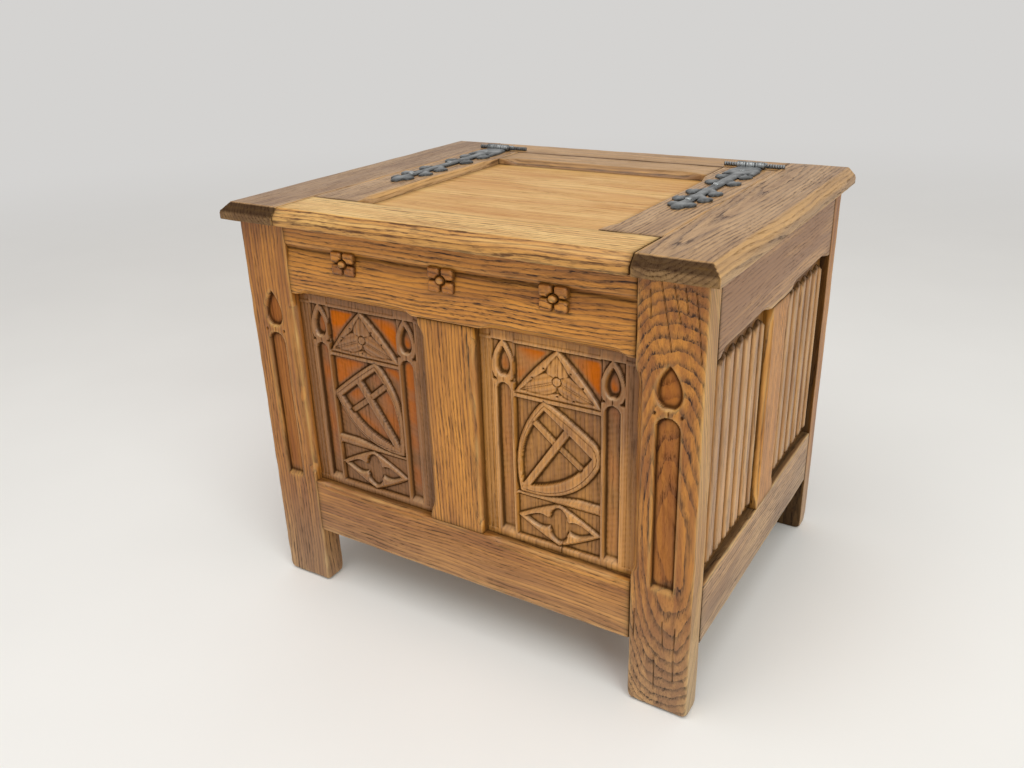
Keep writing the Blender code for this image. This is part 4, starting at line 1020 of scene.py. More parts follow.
def carve_lozenge(face):
    """A lozenge with a four-lobed opening: a tall oval, and a leaf to each side of it."""
    across, height = face.across, face.height
    face.cut(soft(height - 217.5, 1.2), np.minimum(face.depth, 4.6))
    sides = []
    for start, end in zip(LOZENGE, LOZENGE[1:] + LOZENGE[:1]):
        sides += bowed(start, end, 1.2, 6)
    edge = outline_distance(across, height, sides)
    bevelled(face, edge, 3.0, 2.6)
    sunk = np.hypot((across - 1.0) / 13.0, (height - 192.5) / 22.0) - 1.0
    sunk = sunk * 13.0
    for way in (-1, 1):
        leaf = leaf_edge(across, height, (1.0 + way * 6.0, 193.0), (1.0 + way * 43.0, 193.0), 8.6)
        sunk = np.minimum(sunk, leaf[0])
    face.cut(soft(sunk, 2.6), 5.0)
    # Painted highlight on the walls of the opening that face up
    foot = np.clip(np.gradient(-sunk, height[0], axis=1), 0.0, 1.0)
    face.painted_light_and_wear(0.8 * foot * soft(np.abs(sunk) - 1.0, 2.0))
    for way in (-1, 1):
        for side in (-1, 1):
            cusp = np.hypot(across - 1.0 - way * 12.8, height - 193.0 - side * 10.5) - 2.2
            face.cut(soft(cusp, 1.8), 0.6)


# How much of the orange stain each motif of the two panels has kept
LEFT_STAIN = {"spandrel": 1.0, "drop": 1.0, "slot": 0.75, "shield": 0.80, "field": 0.80}
RIGHT_STAIN = {"spandrel": 1.0, "drop": 0.85, "slot": 0.30, "shield": 0.0, "field": 0.05}
# Seeds of the patches in which the stain is left, chosen to fall where they do on the real panels
LEFT_PATCHES = 2288
RIGHT_PATCHES = 15748
# A split in the bottom of the right panel, from its middle line and the floor, in millimetres
PANEL_CRACK = ((5.2, 172.0), (4.8, 161.0), (4.0, 150.0))
PANEL_CRACK_HALF = 0.8


def tracery_carving(across, along):
    """A front panel; the left one mirrors the right one and kept more of its stain."""
    middle = across.mean()
    kept = LEFT_STAIN if middle < 0 else RIGHT_STAIN
    mirrored = (across - middle) / MILLIMETRE * math.copysign(1.0, middle)
    face = CarvedFace(mirrored, along / MILLIMETRE, kept, 0.30, 0.15 if middle < 0 else 0.30)
    height = face.height
    face.depth += 1.3
    face.cut(soft(FIELD_HIGH + 3.5 - height, 1.6), 1.5)
    face.cut(soft(np.abs(height - FIELD_HIGH - 2.0) - 1.6, 1.4), 0.3)
    face.cut(soft(height - FIELD_LOW + 1.0, 1.2), 0.4)
    for line in FLUTES:
        flute = np.abs(np.abs(face.across) - line) - 0.4
        face.depth += 0.9 * soft(flute, 1.4) * soft(160.0 - height, 2.0) * soft(height - FIELD_HIGH, 4.0)
    # Painted shade in the recessed margins beside the frame and under the top rail
    face.darken(0.40 * smooth((np.abs(face.across) - 78.0) / 8.0))
    face.darken(0.30 * smooth((height - FIELD_HIGH - 2.0) / 6.0))
    carve_columns(face)

    field = CarvedFace(face.across, height, kept)
    field.depth += GROUND
    carve_gable(field)
    carve_shield(field, SHARP_CORNER if middle < 0 else ROUND_CORNER)
    carve_lozenge(field)
    sunk = soft(np.abs(face.across) - FIELD_HALF, 1.4) * soft(height - FIELD_HIGH, 1.4)
    sunk = sunk * soft(FIELD_LOW - height, 1.4)
    face.cut(sunk, field.depth)
    # The field's painted highlights
    face.painted_light_and_wear(field.shine * sunk)

    places = np.stack([face.across.ravel(), height.ravel(), np.zeros(height.size)], axis=1)
    seed = LEFT_PATCHES if middle < 0 else RIGHT_PATCHES
    patches = 0.65 + 0.75 * waves(places, 46.0, seed).reshape(height.shape)
    face.stain = np.maximum(face.stain, field.stain * sunk) * np.clip(patches, 0.0, 1.0)
    face.stain *= 0.55 + 0.45 * smooth((height - 215.0) / 130.0)
    # The stain has stayed in the middle of each ground, away from the walls
    ground = smooth((face.depth - 3.4) / 1.6)
    face.stain *= ground * smooth((blurred(ground, 40) - 0.57) / 0.37)
    # Old wax has darkened the left panel all over, and the right one towards its upper right corner
    if middle < 0:
        face.patina += 0.55
        face.darken(np.full(height.shape, 0.10))
    else:
        face.patina += 0.75 * smooth((face.across + 5.0) / 65.0) * smooth((height - 270.0) / 90.0)
        face.darken(0.18 * smooth((face.across - 20.0) / 50.0) * smooth((height - 300.0) / 80.0))
        crack(face, PANEL_CRACK, PANEL_CRACK_HALF)
    face.depth = np.maximum(face.depth + 0.12 * waves(places, 9.0, 5).reshape(height.shape), 0.0)
    return face


PANEL_LAP = 0.0015
PANEL_THICKNESS = 0.010
panel_height = (OPENING_LOW - PANEL_LAP, OPENING_HIGH + PANEL_LAP)
panel_depth = (PANEL_FACE, PANEL_FACE + PANEL_THICKNESS)


def panel_width(side):
    """Span of a panel beside the muntin of the front or the back wall."""
    return sorted((side * (MUNTIN - PANEL_LAP), side * (LEG_INNER + PANEL_LAP)))


for word, side in LEFT_AND_RIGHT:
    spans = (panel_width(side), panel_depth, panel_height)
    board(f"front_{word}_panel", "carcass", "carved_oak", spans, "-y", "z", step=(0.0008, 0.0009),
          carve=tracery_carving, joints=both_sides("x", "z"), log=(0.09, 0.03, 0.0, 0.0),
          tone=0.2 if side < 0 else 0.0, figure=0.65, uneven=0.0001, lap=PANEL_LAP)
print("tracery panels", [len(piece.data.vertices) for piece in made_boards[-2:]])

# %% [markdown]
# ## Relief plates and repeats
#
# Petals, folds and iron leaves are all flat pieces with an outline and a modelled surface. One function
# makes them: a field is negative within the outline, and the grid cells on the outline are pulled onto it.
#
# What repeats is set out by Geometry Nodes, as a template is on the bench, and then made a plain mesh.

# %% Relief plates and Geometry Nodes tools
def relief_plate(field, low, high, steps, height):
    """Points and faces of a closed plate over the places where the field is negative."""
    counts = [max(2, round((high[axis] - low[axis]) / steps[axis]) + 1) for axis in (0, 1)]
    lines = [np.linspace(low[axis], high[axis], counts[axis]) for axis in (0, 1)]
    p, q = np.meshgrid(*lines, indexing="ij")
    within = field(p, q) < 0.0
    cells = within[:-1, :-1] | within[1:, :-1] | within[1:, 1:] | within[:-1, 1:]
    used = np.zeros(within.shape, dtype=bool)
    for rows in (slice(None, -1), slice(1, None)):
        for columns in (slice(None, -1), slice(1, None)):
            used[rows, columns] |= cells
    tiny = min(steps) * 0.05
    for pull in range(3):
        value = np.maximum(field(p, q), 0.0) * used
        slope_p = (field(p + tiny, q) - field(p - tiny, q)) / (2 * tiny)
        slope_q = (field(p, q + tiny) - field(p, q - tiny)) / (2 * tiny)
        share = value / np.maximum(slope_p ** 2 + slope_q ** 2, 0.05)
        p = p - share * slope_p
        q = q - share * slope_q
    number = np.cumsum(used.ravel()).reshape(used.shape) - 1
    total = int(used.sum())
    top = np.stack([p[used], q[used], height(p, q, field(p, q))[used]], axis=1)
    bottom = top * (1.0, 1.0, 0.0)
    corners = [number[:-1, :-1], number[1:, :-1], number[1:, 1:], number[:-1, 1:]]
    quads = np.stack([corner[cells] for corner in corners], axis=1)
    faces = quads.tolist() + (quads[:, ::-1] + total).tolist()
    padded = np.pad(cells, 1)
    neighbours = (padded[1:-1, :-2], padded[2:, 1:-1], padded[1:-1, 2:], padded[:-2, 1:-1])
    for side, neighbour in enumerate(neighbours):
        open_side = cells & ~neighbour
        first = corners[side][open_side]
        second = corners[(side + 1) % 4][open_side]
        faces += np.stack([second, first, first + total, second + total], axis=1).tolist()
    return np.concatenate([top, bottom]), faces


def placed(points, first, second, out, origin):
    """Points of a plate in the row frame, from the ways of its two axes and of its surface."""
    return points @ np.array([first, second, out], dtype=float) + np.array(origin)


def new_tree(name, sockets):
    """A Geometry Nodes tree with named inputs; gives the tree, its input node and its output node."""
    tree = bpy.data.node_groups.new(name, "GeometryNodeTree")
    tree.interface.new_socket("Geometry", in_out="OUTPUT", socket_type="NodeSocketGeometry")
    tree.interface.new_socket("Geometry", in_out="INPUT", socket_type="NodeSocketGeometry")
    for word, kind in sockets:
        tree.interface.new_socket(word, in_out="INPUT", socket_type=kind)
    return tree, tree.nodes.new("NodeGroupInput"), tree.nodes.new("NodeGroupOutput")


def axis_vector(tree, **parts):
    """A vector from what goes along its X, Y and Z."""
    return add_node(tree, "ShaderNodeCombineXYZ", parts).outputs[0]


def point_row(tree, count, offset, start=(0.0, 0.0, 0.0)):
    """Points in a row, to set things out on."""
    values = {"Count": count, "Start Location": start, "Offset": offset}
    return add_node(tree, "GeometryNodeMeshLine", values).outputs["Mesh"]


def set_out(tree, points, instance, **more):
    """The same geometry at every point."""
    values = {"Points": points, "Instance": instance, **more}
    return add_node(tree, "GeometryNodeInstanceOnPoints", values).outputs[0]


def moved(tree, geometry, way):
    """Geometry moved along a vector."""
    return add_node(tree, "GeometryNodeTransform", {"Geometry": geometry, "Translation": way}).outputs[0]


def finish_tree(tree, given, result, geometry):
    """Ends a tree: real geometry with its material."""
    real = add_node(tree, "GeometryNodeRealizeInstances", {0: geometry})
    painted = add_node(tree, "GeometryNodeSetMaterial", {"Geometry": real.outputs[0],
                                                         "Material": given.outputs["Material"]})
    smoothed = add_node(tree, "GeometryNodeSetShadeSmooth", {"Geometry": painted.outputs[0]})
    tree.links.new(smoothed.outputs[0], result.inputs[0])
    return tree


def run_tree(name, tree, points, faces, values):
    """The plain mesh that a tree makes from some points and faces, as a new object."""
    mesh = bpy.data.meshes.new(name)
    mesh.from_pydata(points.tolist(), [], faces)
    holder = bpy.data.objects.new(name + "_setting_out", mesh)
    bpy.context.scene.collection.objects.link(holder)
    modifier = holder.modifiers.new("setting out", "NODES")
    modifier.node_group = tree
    for socket in tree.interface.items_tree:
        if socket.in_out == "INPUT" and socket.name in values:
            modifier[socket.identifier] = values[socket.name]
    graph = bpy.context.evaluated_depsgraph_get()
    made = bpy.data.meshes.new_from_object(holder.evaluated_get(graph))
    bpy.data.objects.remove(holder)
    bpy.data.meshes.remove(mesh)
    made.name = name
    piece = bpy.data.objects.new(name, made)
    bpy.context.scene.collection.objects.link(piece)
    made.set_sharp_from_angle(angle=math.radians(50))
    return piece


def mesh_points(piece):
    """The places of all points of a piece."""
    points = np.empty(len(piece.data.vertices) * 3, dtype=np.float32)
    piece.data.vertices.foreach_get("co", points)
    return points.reshape(-1, 3).astype(float)


def oak_points(piece, order, offset, wear_and_highlight, dirt_and_shade, tone, figure=1.0, fade=0.0):
    """Gives a carved piece its place in a log, with the axes in the order across, depth and length."""
    points = mesh_points(piece)
    point_attribute(piece.data, "grain", points[:, order] + np.array(offset))
    zero = np.zeros(len(points))
    point_attribute(piece.data, "finish_and_painted_light", np.stack([wear_and_highlight, dirt_and_shade, zero], axis=1))
    point_attribute(piece.data, "tone", np.full((len(points), 3), (tone, figure, 1.0)))
    point_attribute(piece.data, "fade", np.full(len(points), fade))


print("relief and repeat tools ready")

# %% [markdown]
# ## Rosettes
#
# Three flowers stand in the hollow of the front top rail. Each has four pillowed petals, split by dark
# lines, round a boss. One petal is modelled, and the nodes turn it round the boss and repeat the flower.

# %% Rosettes
PETAL_MIDDLE = 0.0088
PETAL_HALF = 0.0079
PETAL_CORNER = 0.0038
BOSS_RING = 0.0063
PETAL_FOOT = 0.0030
PETAL_RISE = 0.0046
PETAL_DIMPLE = 0.0012
PETAL_STEP = 0.0006
PETAL_REACH = 0.018


def petal_field(p, q):
    """A square with round corners in one quarter of the flower, bitten by the ring round the boss."""
    away_p = np.abs(p - PETAL_MIDDLE) - PETAL_HALF + PETAL_CORNER
    away_q = np.abs(q - PETAL_MIDDLE) - PETAL_HALF + PETAL_CORNER
    square = np.hypot(np.maximum(away_p, 0.0), np.maximum(away_q, 0.0)) - PETAL_CORNER
    square = square + np.minimum(np.maximum(away_p, away_q), 0.0)
    return np.maximum(square, BOSS_RING - np.hypot(p, q))


def petal_height(p, q, value):
    """A pillow with a dimple in its middle."""
    pillow = 1.0 - np.exp(np.minimum(value, 0.0) / 0.0019)
    middle = np.hypot(p - PETAL_MIDDLE, q - PETAL_MIDDLE)
    return PETAL_FOOT + PETAL_RISE * pillow - PETAL_DIMPLE * np.exp(-(middle / 0.003) ** 2)


def build_rosette_tree():
    """Nodes that turn a petal round a boss and repeat the flower along a row."""
    sockets = (("Petals", "NodeSocketInt"), ("Rosettes", "NodeSocketInt"), ("Spacing", "NodeSocketFloat"),
               ("Boss Radius", "NodeSocketFloat"), ("Boss Place", "NodeSocketVector"),
               ("Material", "NodeSocketMaterial"))
    tree, given, result = new_tree("rosettes", sockets)
    seats = point_row(tree, given.outputs["Petals"], (0.0, 0.0, 0.0))
    index = tree.nodes.new("GeometryNodeInputIndex").outputs[0]
    turn = math_node(tree, "DIVIDE", 2 * math.pi, given.outputs["Petals"])
    turn = math_node(tree, "MULTIPLY", index, turn)
    petals = set_out(tree, seats, given.outputs["Geometry"], Rotation=axis_vector(tree, Y=turn))
    ball = add_node(tree, "GeometryNodeMeshUVSphere", {"Segments": 20, "Rings": 12,
                                                       "Radius": given.outputs["Boss Radius"]})
    boss = moved(tree, ball.outputs[0], given.outputs["Boss Place"])
    flower = tree.nodes.new("GeometryNodeJoinGeometry")
    tree.links.new(petals, flower.inputs[0])
    tree.links.new(boss, flower.inputs[0])
    spacing = given.outputs["Spacing"]
    row = point_row(tree, given.outputs["Rosettes"], axis_vector(tree, X=spacing))
    flowers = set_out(tree, row, flower.outputs[0])
    first = axis_vector(tree, X=math_node(tree, "MULTIPLY", spacing, -1.0))
    return finish_tree(tree, given, result, moved(tree, flowers, first))


petal_points, petal_faces = relief_plate(petal_field, (0.0, 0.0), (PETAL_REACH, PETAL_REACH),
                                         (PETAL_STEP, PETAL_STEP), petal_height)
petal_points = placed(petal_points, (1, 0, 0), (0, 0, 1), (0, -1, 0), (0, 0, 0))
rosettes = run_tree("rosettes", build_rosette_tree(), petal_points, petal_faces, {
    "Petals": 4, "Rosettes": 3, "Spacing": ROSETTE_SPACING, "Boss Radius": 0.0051,
    "Boss Place": (0.0, -0.0042, 0.0), "Material": MATERIALS["frame_oak"]})
ROSETTE_BASE = FRONT + HOLLOW_DEPTH - 0.0032
rosettes.data.transform(Matrix.Diagonal((1.0, 1.0, ROSETTE_SQUAT, 1.0)))
rosettes.data.transform(Matrix.Translation((0.0, ROSETTE_BASE, ROSETTE_HEIGHT)))
rosette_points = mesh_points(rosettes)
rosette_rise = (ROSETTE_BASE - rosette_points[:, 1]) / MILLIMETRE
from_boss = (rosette_points[:, 0] + ROSETTE_SPACING / 2) % ROSETTE_SPACING - ROSETTE_SPACING / 2
from_boss = np.hypot(from_boss, (rosette_points[:, 2] - ROSETTE_HEIGHT) / ROSETTE_SQUAT)
# Painted shade: the low edges of the petals and the ring round the boss are darkened as their crevices would
# be in shade
rosette_shade = np.clip((5.4 - rosette_rise) / 2.0, 0.0, 0.75)
rosette_shade = np.maximum(rosette_shade, 0.7 * (from_boss < BOSS_RING) * (rosette_rise < 6.5))
oak_points(rosettes, [2, 1, 0], (-0.4, 0.3, 0.0), np.clip((rosette_rise - 6.9) / 4.0, 0.0, 0.4),
           rosette_shade, 0.35, 0.8)
dress(rosettes, "carcass")
print("rosettes", len(rosettes.data.polygons), "faces")

# %% [markdown]
# ## Linenfold sides
#
# Linenfold looks like cloth laid in upright folds. It is planed along the board with shaped planes, and only
# the ends are carved, each fold to its own small arch. One fold is modelled and repeated across each panel.

# %% Linenfold panels
FOLD_COUNT = 6
FOLD_MARGIN = 0.004
FOLD_BACK_MARGIN = 0.010
FOLD_RISE = 0.0058
FOLD_ARCH = 0.0060
FOLD_ENDS = (OPENING_LOW + 0.008, OPENING_HIGH - 0.009)
FOLD_MIDDLE = (FOLD_ENDS[0] + FOLD_ENDS[1]) / 2
FOLD_WIDTH = (SIDE_MUNTIN_FRONT - LEG_BACK - FOLD_MARGIN - FOLD_BACK_MARGIN) / FOLD_COUNT
# Each fold stops this far short of the line to the next, and the folds are let this far into the panel
FOLD_GAP = 0.0004
FOLD_SEAT = 0.0004


def fold_ends(p):
    """How far a fold reaches up and down at each place across it."""
    return (FOLD_ENDS[1] - FOLD_ENDS[0]) / 2 - FOLD_ARCH * (2 * p / FOLD_WIDTH) ** 2


def fold_field(p, q):
    """A strip with an arched end at its top and its bottom."""
    return np.maximum(np.abs(p) - FOLD_WIDTH / 2 + FOLD_GAP, np.abs(q - FOLD_MIDDLE) - fold_ends(p))


def fold_height(p, q, value):
    """A broad band, flat in its middle, and a thin bead beside it, both cut short at their ends."""
    share = p / FOLD_WIDTH + 0.5
    band = 0.60 * (1.0 - np.clip(np.abs(share - 0.37) / 0.38, 0.0, 1.0) ** 3)
    bead = np.sqrt(np.clip(1.0 - ((share - 0.86) / 0.11) ** 2, 0.0, 1.0))
    end = smooth((fold_ends(p) - np.abs(q - FOLD_MIDDLE)) / 0.0035 + 0.15)
    return 0.0008 + FOLD_RISE * np.maximum(band, bead) * end


def build_fold_tree():
    """Nodes that repeat a fold across a panel."""
    sockets = (("Folds", "NodeSocketInt"), ("Pitch", "NodeSocketFloat"), ("Material", "NodeSocketMaterial"))
    tree, given, result = new_tree("linenfold", sockets)
    row = point_row(tree, given.outputs["Folds"], axis_vector(tree, Y=given.outputs["Pitch"]))
    return finish_tree(tree, given, result, set_out(tree, row, given.outputs["Geometry"]))


fold_tree = build_fold_tree()
fold_shape = relief_plate(fold_field, (-FOLD_WIDTH / 2, FOLD_ENDS[0]), (FOLD_WIDTH / 2, FOLD_ENDS[1]),
                          (0.0006, 0.004), fold_height)
PANEL_FACE_SIDE = SIDE - (PANEL_FACE - FRONT)
for word, side in LEFT_AND_RIGHT:
    for place, (start, end) in zip(("front", "rear"), side_openings):
        spans = (wall_span(side, PANEL_FACE_SIDE, PANEL_THICKNESS), (start - PANEL_LAP, end + PANEL_LAP),
                 panel_height)
        board(f"{word}_{place}_panel", "carcass", "carved_oak", spans, outward(side), "z",
              joints=both_sides("y", "z"), log=(0.08, 0.03, 0.0, 0.0), tone=0.2, overall_shade=0.7)
        shape, faces = fold_shape
        turned = placed(shape, (0, side, 0), (0, 0, 1), (side, 0, 0), (0, 0, 0))
        folds = run_tree(f"{word}_{place}_linenfold", fold_tree, turned, faces, {
            "Folds": FOLD_COUNT, "Pitch": FOLD_WIDTH, "Material": MATERIALS["carved_oak"]})
        first = start + FOLD_MARGIN + FOLD_WIDTH / 2
        folds.data.transform(Matrix.Translation((side * (PANEL_FACE_SIDE - FOLD_SEAT), first, 0.0)))
        points = mesh_points(folds)
        rise = (side * points[:, 0] - PANEL_FACE_SIDE) / FOLD_RISE
        crest = np.clip((rise - 0.72) / 0.2, 0.0, 1.0) * (0.65 + 0.3 * waves(points, 0.05, 31))
        across_fold = ((points[:, 1] - start - FOLD_MARGIN) / FOLD_WIDTH % 1.0 - 0.5) * FOLD_WIDTH
        ends = fold_ends(across_fold) - np.abs(points[:, 2] - FOLD_MIDDLE)
        # Painted shade in the grooves between the folds and at their arched ends
        sunk = np.clip(0.42 - rise, 0.0, 0.3) / 0.3 * 0.9
        sunk = np.maximum(sunk, np.clip(1.4 - ends / 0.005, 0.0, 1.0))
        oak_points(folds, [1, 0, 2], (0.1, 0.02, 0.3 * side), 0.8 * np.clip(crest, 0.0, 1.0), sunk, 0.22, 0.7,
                   SIDE_SHEEN / 2)
        dress(folds, "carcass")
print("linenfold", FOLD_COUNT, "folds of", round(FOLD_WIDTH / MILLIMETRE, 1), "mm")

# %% [markdown]
# ## Back and floor
#
# The back is framed as the sides are, with plain panels, and the floor is three loose boards on cleats. Both
# are plain work that few people see, so they keep sawn, unpolished oak.

# %% Back panels and floor
for word, side in LEFT_AND_RIGHT:
    panel_low, panel_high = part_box(f"back_{word}_panel")
    spans = (panel_width(side), (panel_low[1], panel_high[1]), panel_height)
    board(f"back_{word}_panel", "carcass", "inner_oak", spans, "+y", "z", joints=both_sides("x"),
          log=(0.02, 0.05, 0.06, 0.0), tone=0.3)
    cleat_low, cleat_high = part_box(f"{word}_floor_cleat")
    spans = tuple(zip(cleat_low, cleat_high))
    board(f"{word}_floor_cleat", "carcass", "inner_oak", spans, "+z", "y", tone=0.3)
for number in (1, 2, 3):
    floor_low, floor_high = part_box(f"floor_board_{number}")
    spans = tuple(zip(floor_low, floor_high))
    board(f"floor_board_{number}", "carcass", "inner_oak", spans, "+z", "x", joints=both_sides("y"),
          log=(0.02 * number, 0.05, 0.05, 0.0), tone=0.1 * number)
print("plain boards done,", len(made_boards), "boards")

# %% [markdown]
# ## Fixed top
#
# Two end boards and a back board are fixed to the frame. Their outer edges carry a flat chamfer, worn to a
# golden strip along the side. At the front it cuts across the end grain, which drinks more stain and is dark.

# %% Fixed top boards
TOP_CHAMFER = 0.0105
# The lid's stiles reach almost to the end boards, so that the gap between them is a fine line
LID_SPREAD = 0.0003
LID_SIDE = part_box("lid_right_stile")[1][0] + LID_SPREAD
FINE_GAP = 0.0004
# Start, end and stop of a chamfer that runs out over both ends of its board
FULL = (-1.0, 1.0, 0.001)
for word, side in LEFT_AND_RIGHT:
    board_low, board_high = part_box(f"top_{word}_end_board")
    swirl = (-0.018, 0.013, -0.02, 0.12) if side > 0 else (0.07, 0.03, 0.02, 0.0)
    width = sorted((side * (LID_SIDE + FINE_GAP), board_high[0] if side > 0 else board_low[0]))
    spans = (width, (board_low[1], board_high[1]), (board_low[2], board_high[2]))
    board(f"top_{word}_end_board", "carcass", "top_oak", spans, "+z", "y", step=(0.0018, 0.0025),
          chamfers=[("x", side, TOP_CHAMFER, *FULL), ("y", -1, TOP_CHAMFER, *FULL)], log=swirl,
          tone=-0.1 if side > 0 else 0.22, ripple=0.9, chamfer_wear=RUBBED)
back_low, back_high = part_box("top_back_board")
spans = (front_width, (back_low[1], back_high[1]), (back_low[2], back_high[2]))
board("top_back_board", "carcass", "top_oak", spans, "+z", "x", step=(0.0025, 0.008), radius=0.0012,
      joints=both_sides("x") + [("y", -1)], lightened=[("z", 1)], rub=0.50, log=(0.09, 0.02, 0.01, 0.0),
      tone=0.2)

# %% [markdown]
# ## Lid
#
# The lid is a frame with a sunk panel. The front rail is the piece that hands lift, so its golden face is the
# lightest and its front edge the roundest. The stiles and the back rail have stopped chamfers to the panel.

# %% Lid boards
lid_front_low, lid_front_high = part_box("lid_front_rail")
lid_panel_low, lid_panel_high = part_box("lid_panel")
stile_low, stile_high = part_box("lid_right_stile")
STILE_INNER = stile_low[0]
RAIL_BACK = lid_front_high[1]
LID_BACK = stile_high[1]
PANEL_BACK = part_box("lid_back_rail")[0][1]
LID_CHAMFER = 0.0078
LID_STOP = 0.030
LID_INSET = 0.006
LID_STEP = (0.002, 0.005)
RAIL_END_GAP = 0.0006
rail_half = lid_front_high[0] - RAIL_END_GAP
spans = ((-rail_half, rail_half), (lid_front_low[1], lid_front_high[1]),
         (lid_front_low[2], lid_front_high[2]))
board("lid_front_rail", "lid", "lid_oak", spans, "+z", "x", step=(0.0015, 0.005),
      chamfers=[("y", -1, TOP_CHAMFER, *FULL)], radius=0.0020, joints=both_sides("x") + [("y", 1)],
      log=(0.05, 0.04, 0.02, 0.0), tone=-0.20, figure=0.9, ripple=0.6, chamfer_tone=0.75,
      chamfer_figure=1.2)
lid_height = (UNDER_TOP, HEIGHT)
for word, side in LEFT_AND_RIGHT:
    width = sorted((side * STILE_INNER, side * LID_SIDE))
    inner = ("x", -side, LID_CHAMFER, RAIL_BACK + LID_INSET, PANEL_BACK - LID_INSET, LID_STOP)
    spans = (width, (RAIL_BACK + JOINT, LID_BACK), lid_height)
    board(f"lid_{word}_stile", "lid", "top_oak", spans, "+z", "y", step=LID_STEP, chamfers=[inner],
          joints=[("y", -1)], log=(0.05 * side, 0.03, 0.03, 0.0), tone=-0.1, ripple=1.4, chamfer_wear=0.6)
inner = ("y", -1, LID_CHAMFER, -STILE_INNER + CHAMFER_INSET, STILE_INNER - CHAMFER_INSET, LID_STOP)
spans = ((-STILE_INNER + JOINT, STILE_INNER - JOINT), (PANEL_BACK, LID_BACK), lid_height)
board("lid_back_rail", "lid", "top_oak", spans, "+z", "x", step=LID_STEP, chamfers=[inner],
      joints=both_sides("x") + [("y", 1)], log=(0.08, 0.02, 0.02, 0.0), tone=-0.1, lightened=[("z", 1)],
      chamfer_tone=1.4, chamfer_figure=0.6)
spans = ((-STILE_INNER - PANEL_LAP, STILE_INNER + PANEL_LAP), (RAIL_BACK - PANEL_LAP, PANEL_BACK + PANEL_LAP),
         (lid_panel_low[2], lid_panel_high[2]))
board("lid_panel", "lid", "lid_oak", spans, "+z", "x", step=(0.005, 0.010), joints=both_sides("x", "y"),
      log=(0.02, 0.09, 0.01, 0.0), tone=0.20, figure=0.40, ripple=0.7, lap=PANEL_LAP)
print("lid", LID_SIDE, STILE_INNER, RAIL_BACK, LID_BACK)

# %% [markdown]
# ## Iron
#
# Each hinge is a long leafy strap on the lid and a plate with two twisted spikes on the back board, joined by
# a pin through three knuckles. A smith cuts the leaves from bar, domes them over a stake and blackens them
# with oil. The high places have worn to grey.

# %% Iron material
def iron_material():
    """Blackened iron: hammered, a little rusty, and grey where it is worn; the same attribute also paints
    highlights and shade.
    """
    material = bpy.data.materials.new("black iron")
    material.use_nodes = True
    tree = material.node_tree
    shader = tree.nodes["Principled BSDF"]
    place = tree.nodes.new("ShaderNodeTexCoord").outputs["Object"]
    painted_light_and_wear = add_node(tree, "ShaderNodeAttribute", attribute_name="painted_light_and_wear").outputs["Fac"]
    hammer = stretched_noise(tree, place, (260.0, 260.0, 260.0), 3.0, 0.6).outputs[0]
    rust = stretched_noise(tree, place, (90.0, 90.0, 90.0), 4.0, 0.65).outputs[0]
    colour = mix_colour(tree, ramp(tree, hammer, 0.3, 0.75), linear(62, 63, 64), linear(112, 114, 115))
    colour = mix_colour(tree, math_node(tree, "MULTIPLY", ramp(tree, rust, 0.60, 0.78), 0.45), colour,
                        linear(84, 62, 48))
    colour = mix_colour(tree, math_node(tree, "MULTIPLY", painted_light_and_wear, 0.70), colour, linear(184, 186, 186))
    tree.links.new(colour, shader.inputs["Base Color"])
    gloss = math_node(tree, "MULTIPLY_ADD", hammer, 0.25, 0.30)
    tree.links.new(gloss, shader.inputs["Roughness"])
    shader.inputs["Metallic"].default_value = 0.75
    bump = add_node(tree, "ShaderNodeBump", {"Strength": 0.4, "Distance": 0.0006, "Height": hammer})
    tree.links.new(bump.outputs[0], shader.inputs["Normal"])
    return material


IRON = iron_material()
print("iron", IRON.name)

# %% [markdown]
# ## Straps, plates and pins
#
# A strap is drawn as a flat outline: a stem, leaves that melt into it on both sides, and small holes where
# the curls close. Its surface is domed from the edge inwards, so that each leaf has a dark rim. The knuckles
# and the pin are turned forms on the hinge's axis, round which the lid would swing.

# %% Straps, plates and pins
HINGE_X = sum(corner[0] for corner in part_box("right_hinge_pin")) / 2
HINGE_Y = sum(corner[1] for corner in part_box("right_hinge_pin")) / 2
HINGE_Z = sum(corner[2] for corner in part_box("right_hinge_pin")) / 2
# The iron lies just clear of the wood
IRON_CLEARANCE = 0.0003
IRON_FOOT = HEIGHT + IRON_CLEARANCE
IRON_STEP = (0.0008, 0.0008)
BARREL = 0.0045
KNUCKLE = 0.012
KNUCKLE_GAP = 0.0006


def capsule(s, w, start, end, first, last):
    """Distance outside a rounded bar that tapers from its first radius to its last."""
    way = (end[0] - start[0], end[1] - start[1])
    share = ((s - start[0]) * way[0] + (w - start[1]) * way[1]) / (way[0] ** 2 + way[1] ** 2)
    share = np.clip(share, 0.0, 1.0)
    gap = np.hypot(s - start[0] - share * way[0], w - start[1] - share * way[1])
    return gap - first - share * (last - first)


def oval(s, w, middle, half_s, half_w):
    """Distance outside an oval, near enough for a small one."""
    return (np.hypot((s - middle[0]) / half_s, (w - middle[1]) / half_w) - 1.0) * min(half_s, half_w)


def melt(first, second, blend=2.0):
    """Two forms that run into each other."""
    share = np.clip(0.5 + 0.5 * (second - first) / blend, 0.0, 1.0)
    return second * (1.0 - share) + first * share - blend * share * (1.0 - share)


# How far along the strap each leaf ends and on which side, and where the holes are, in millimetres
LEAF_TIPS = ((78.0, -1), (74.0, 1), (114.0, -1), (116.0, 1),
             (174.0, -1), (177.0, 1), (213.0, -1), (210.0, 1))
STRAP_HOLES = ((57.0, -8.0), (55.0, 8.0), (92.0, -8.5), (94.0, 8.5),
               (143.0, 8.0), (152.0, -8.5), (192.0, -8.5))


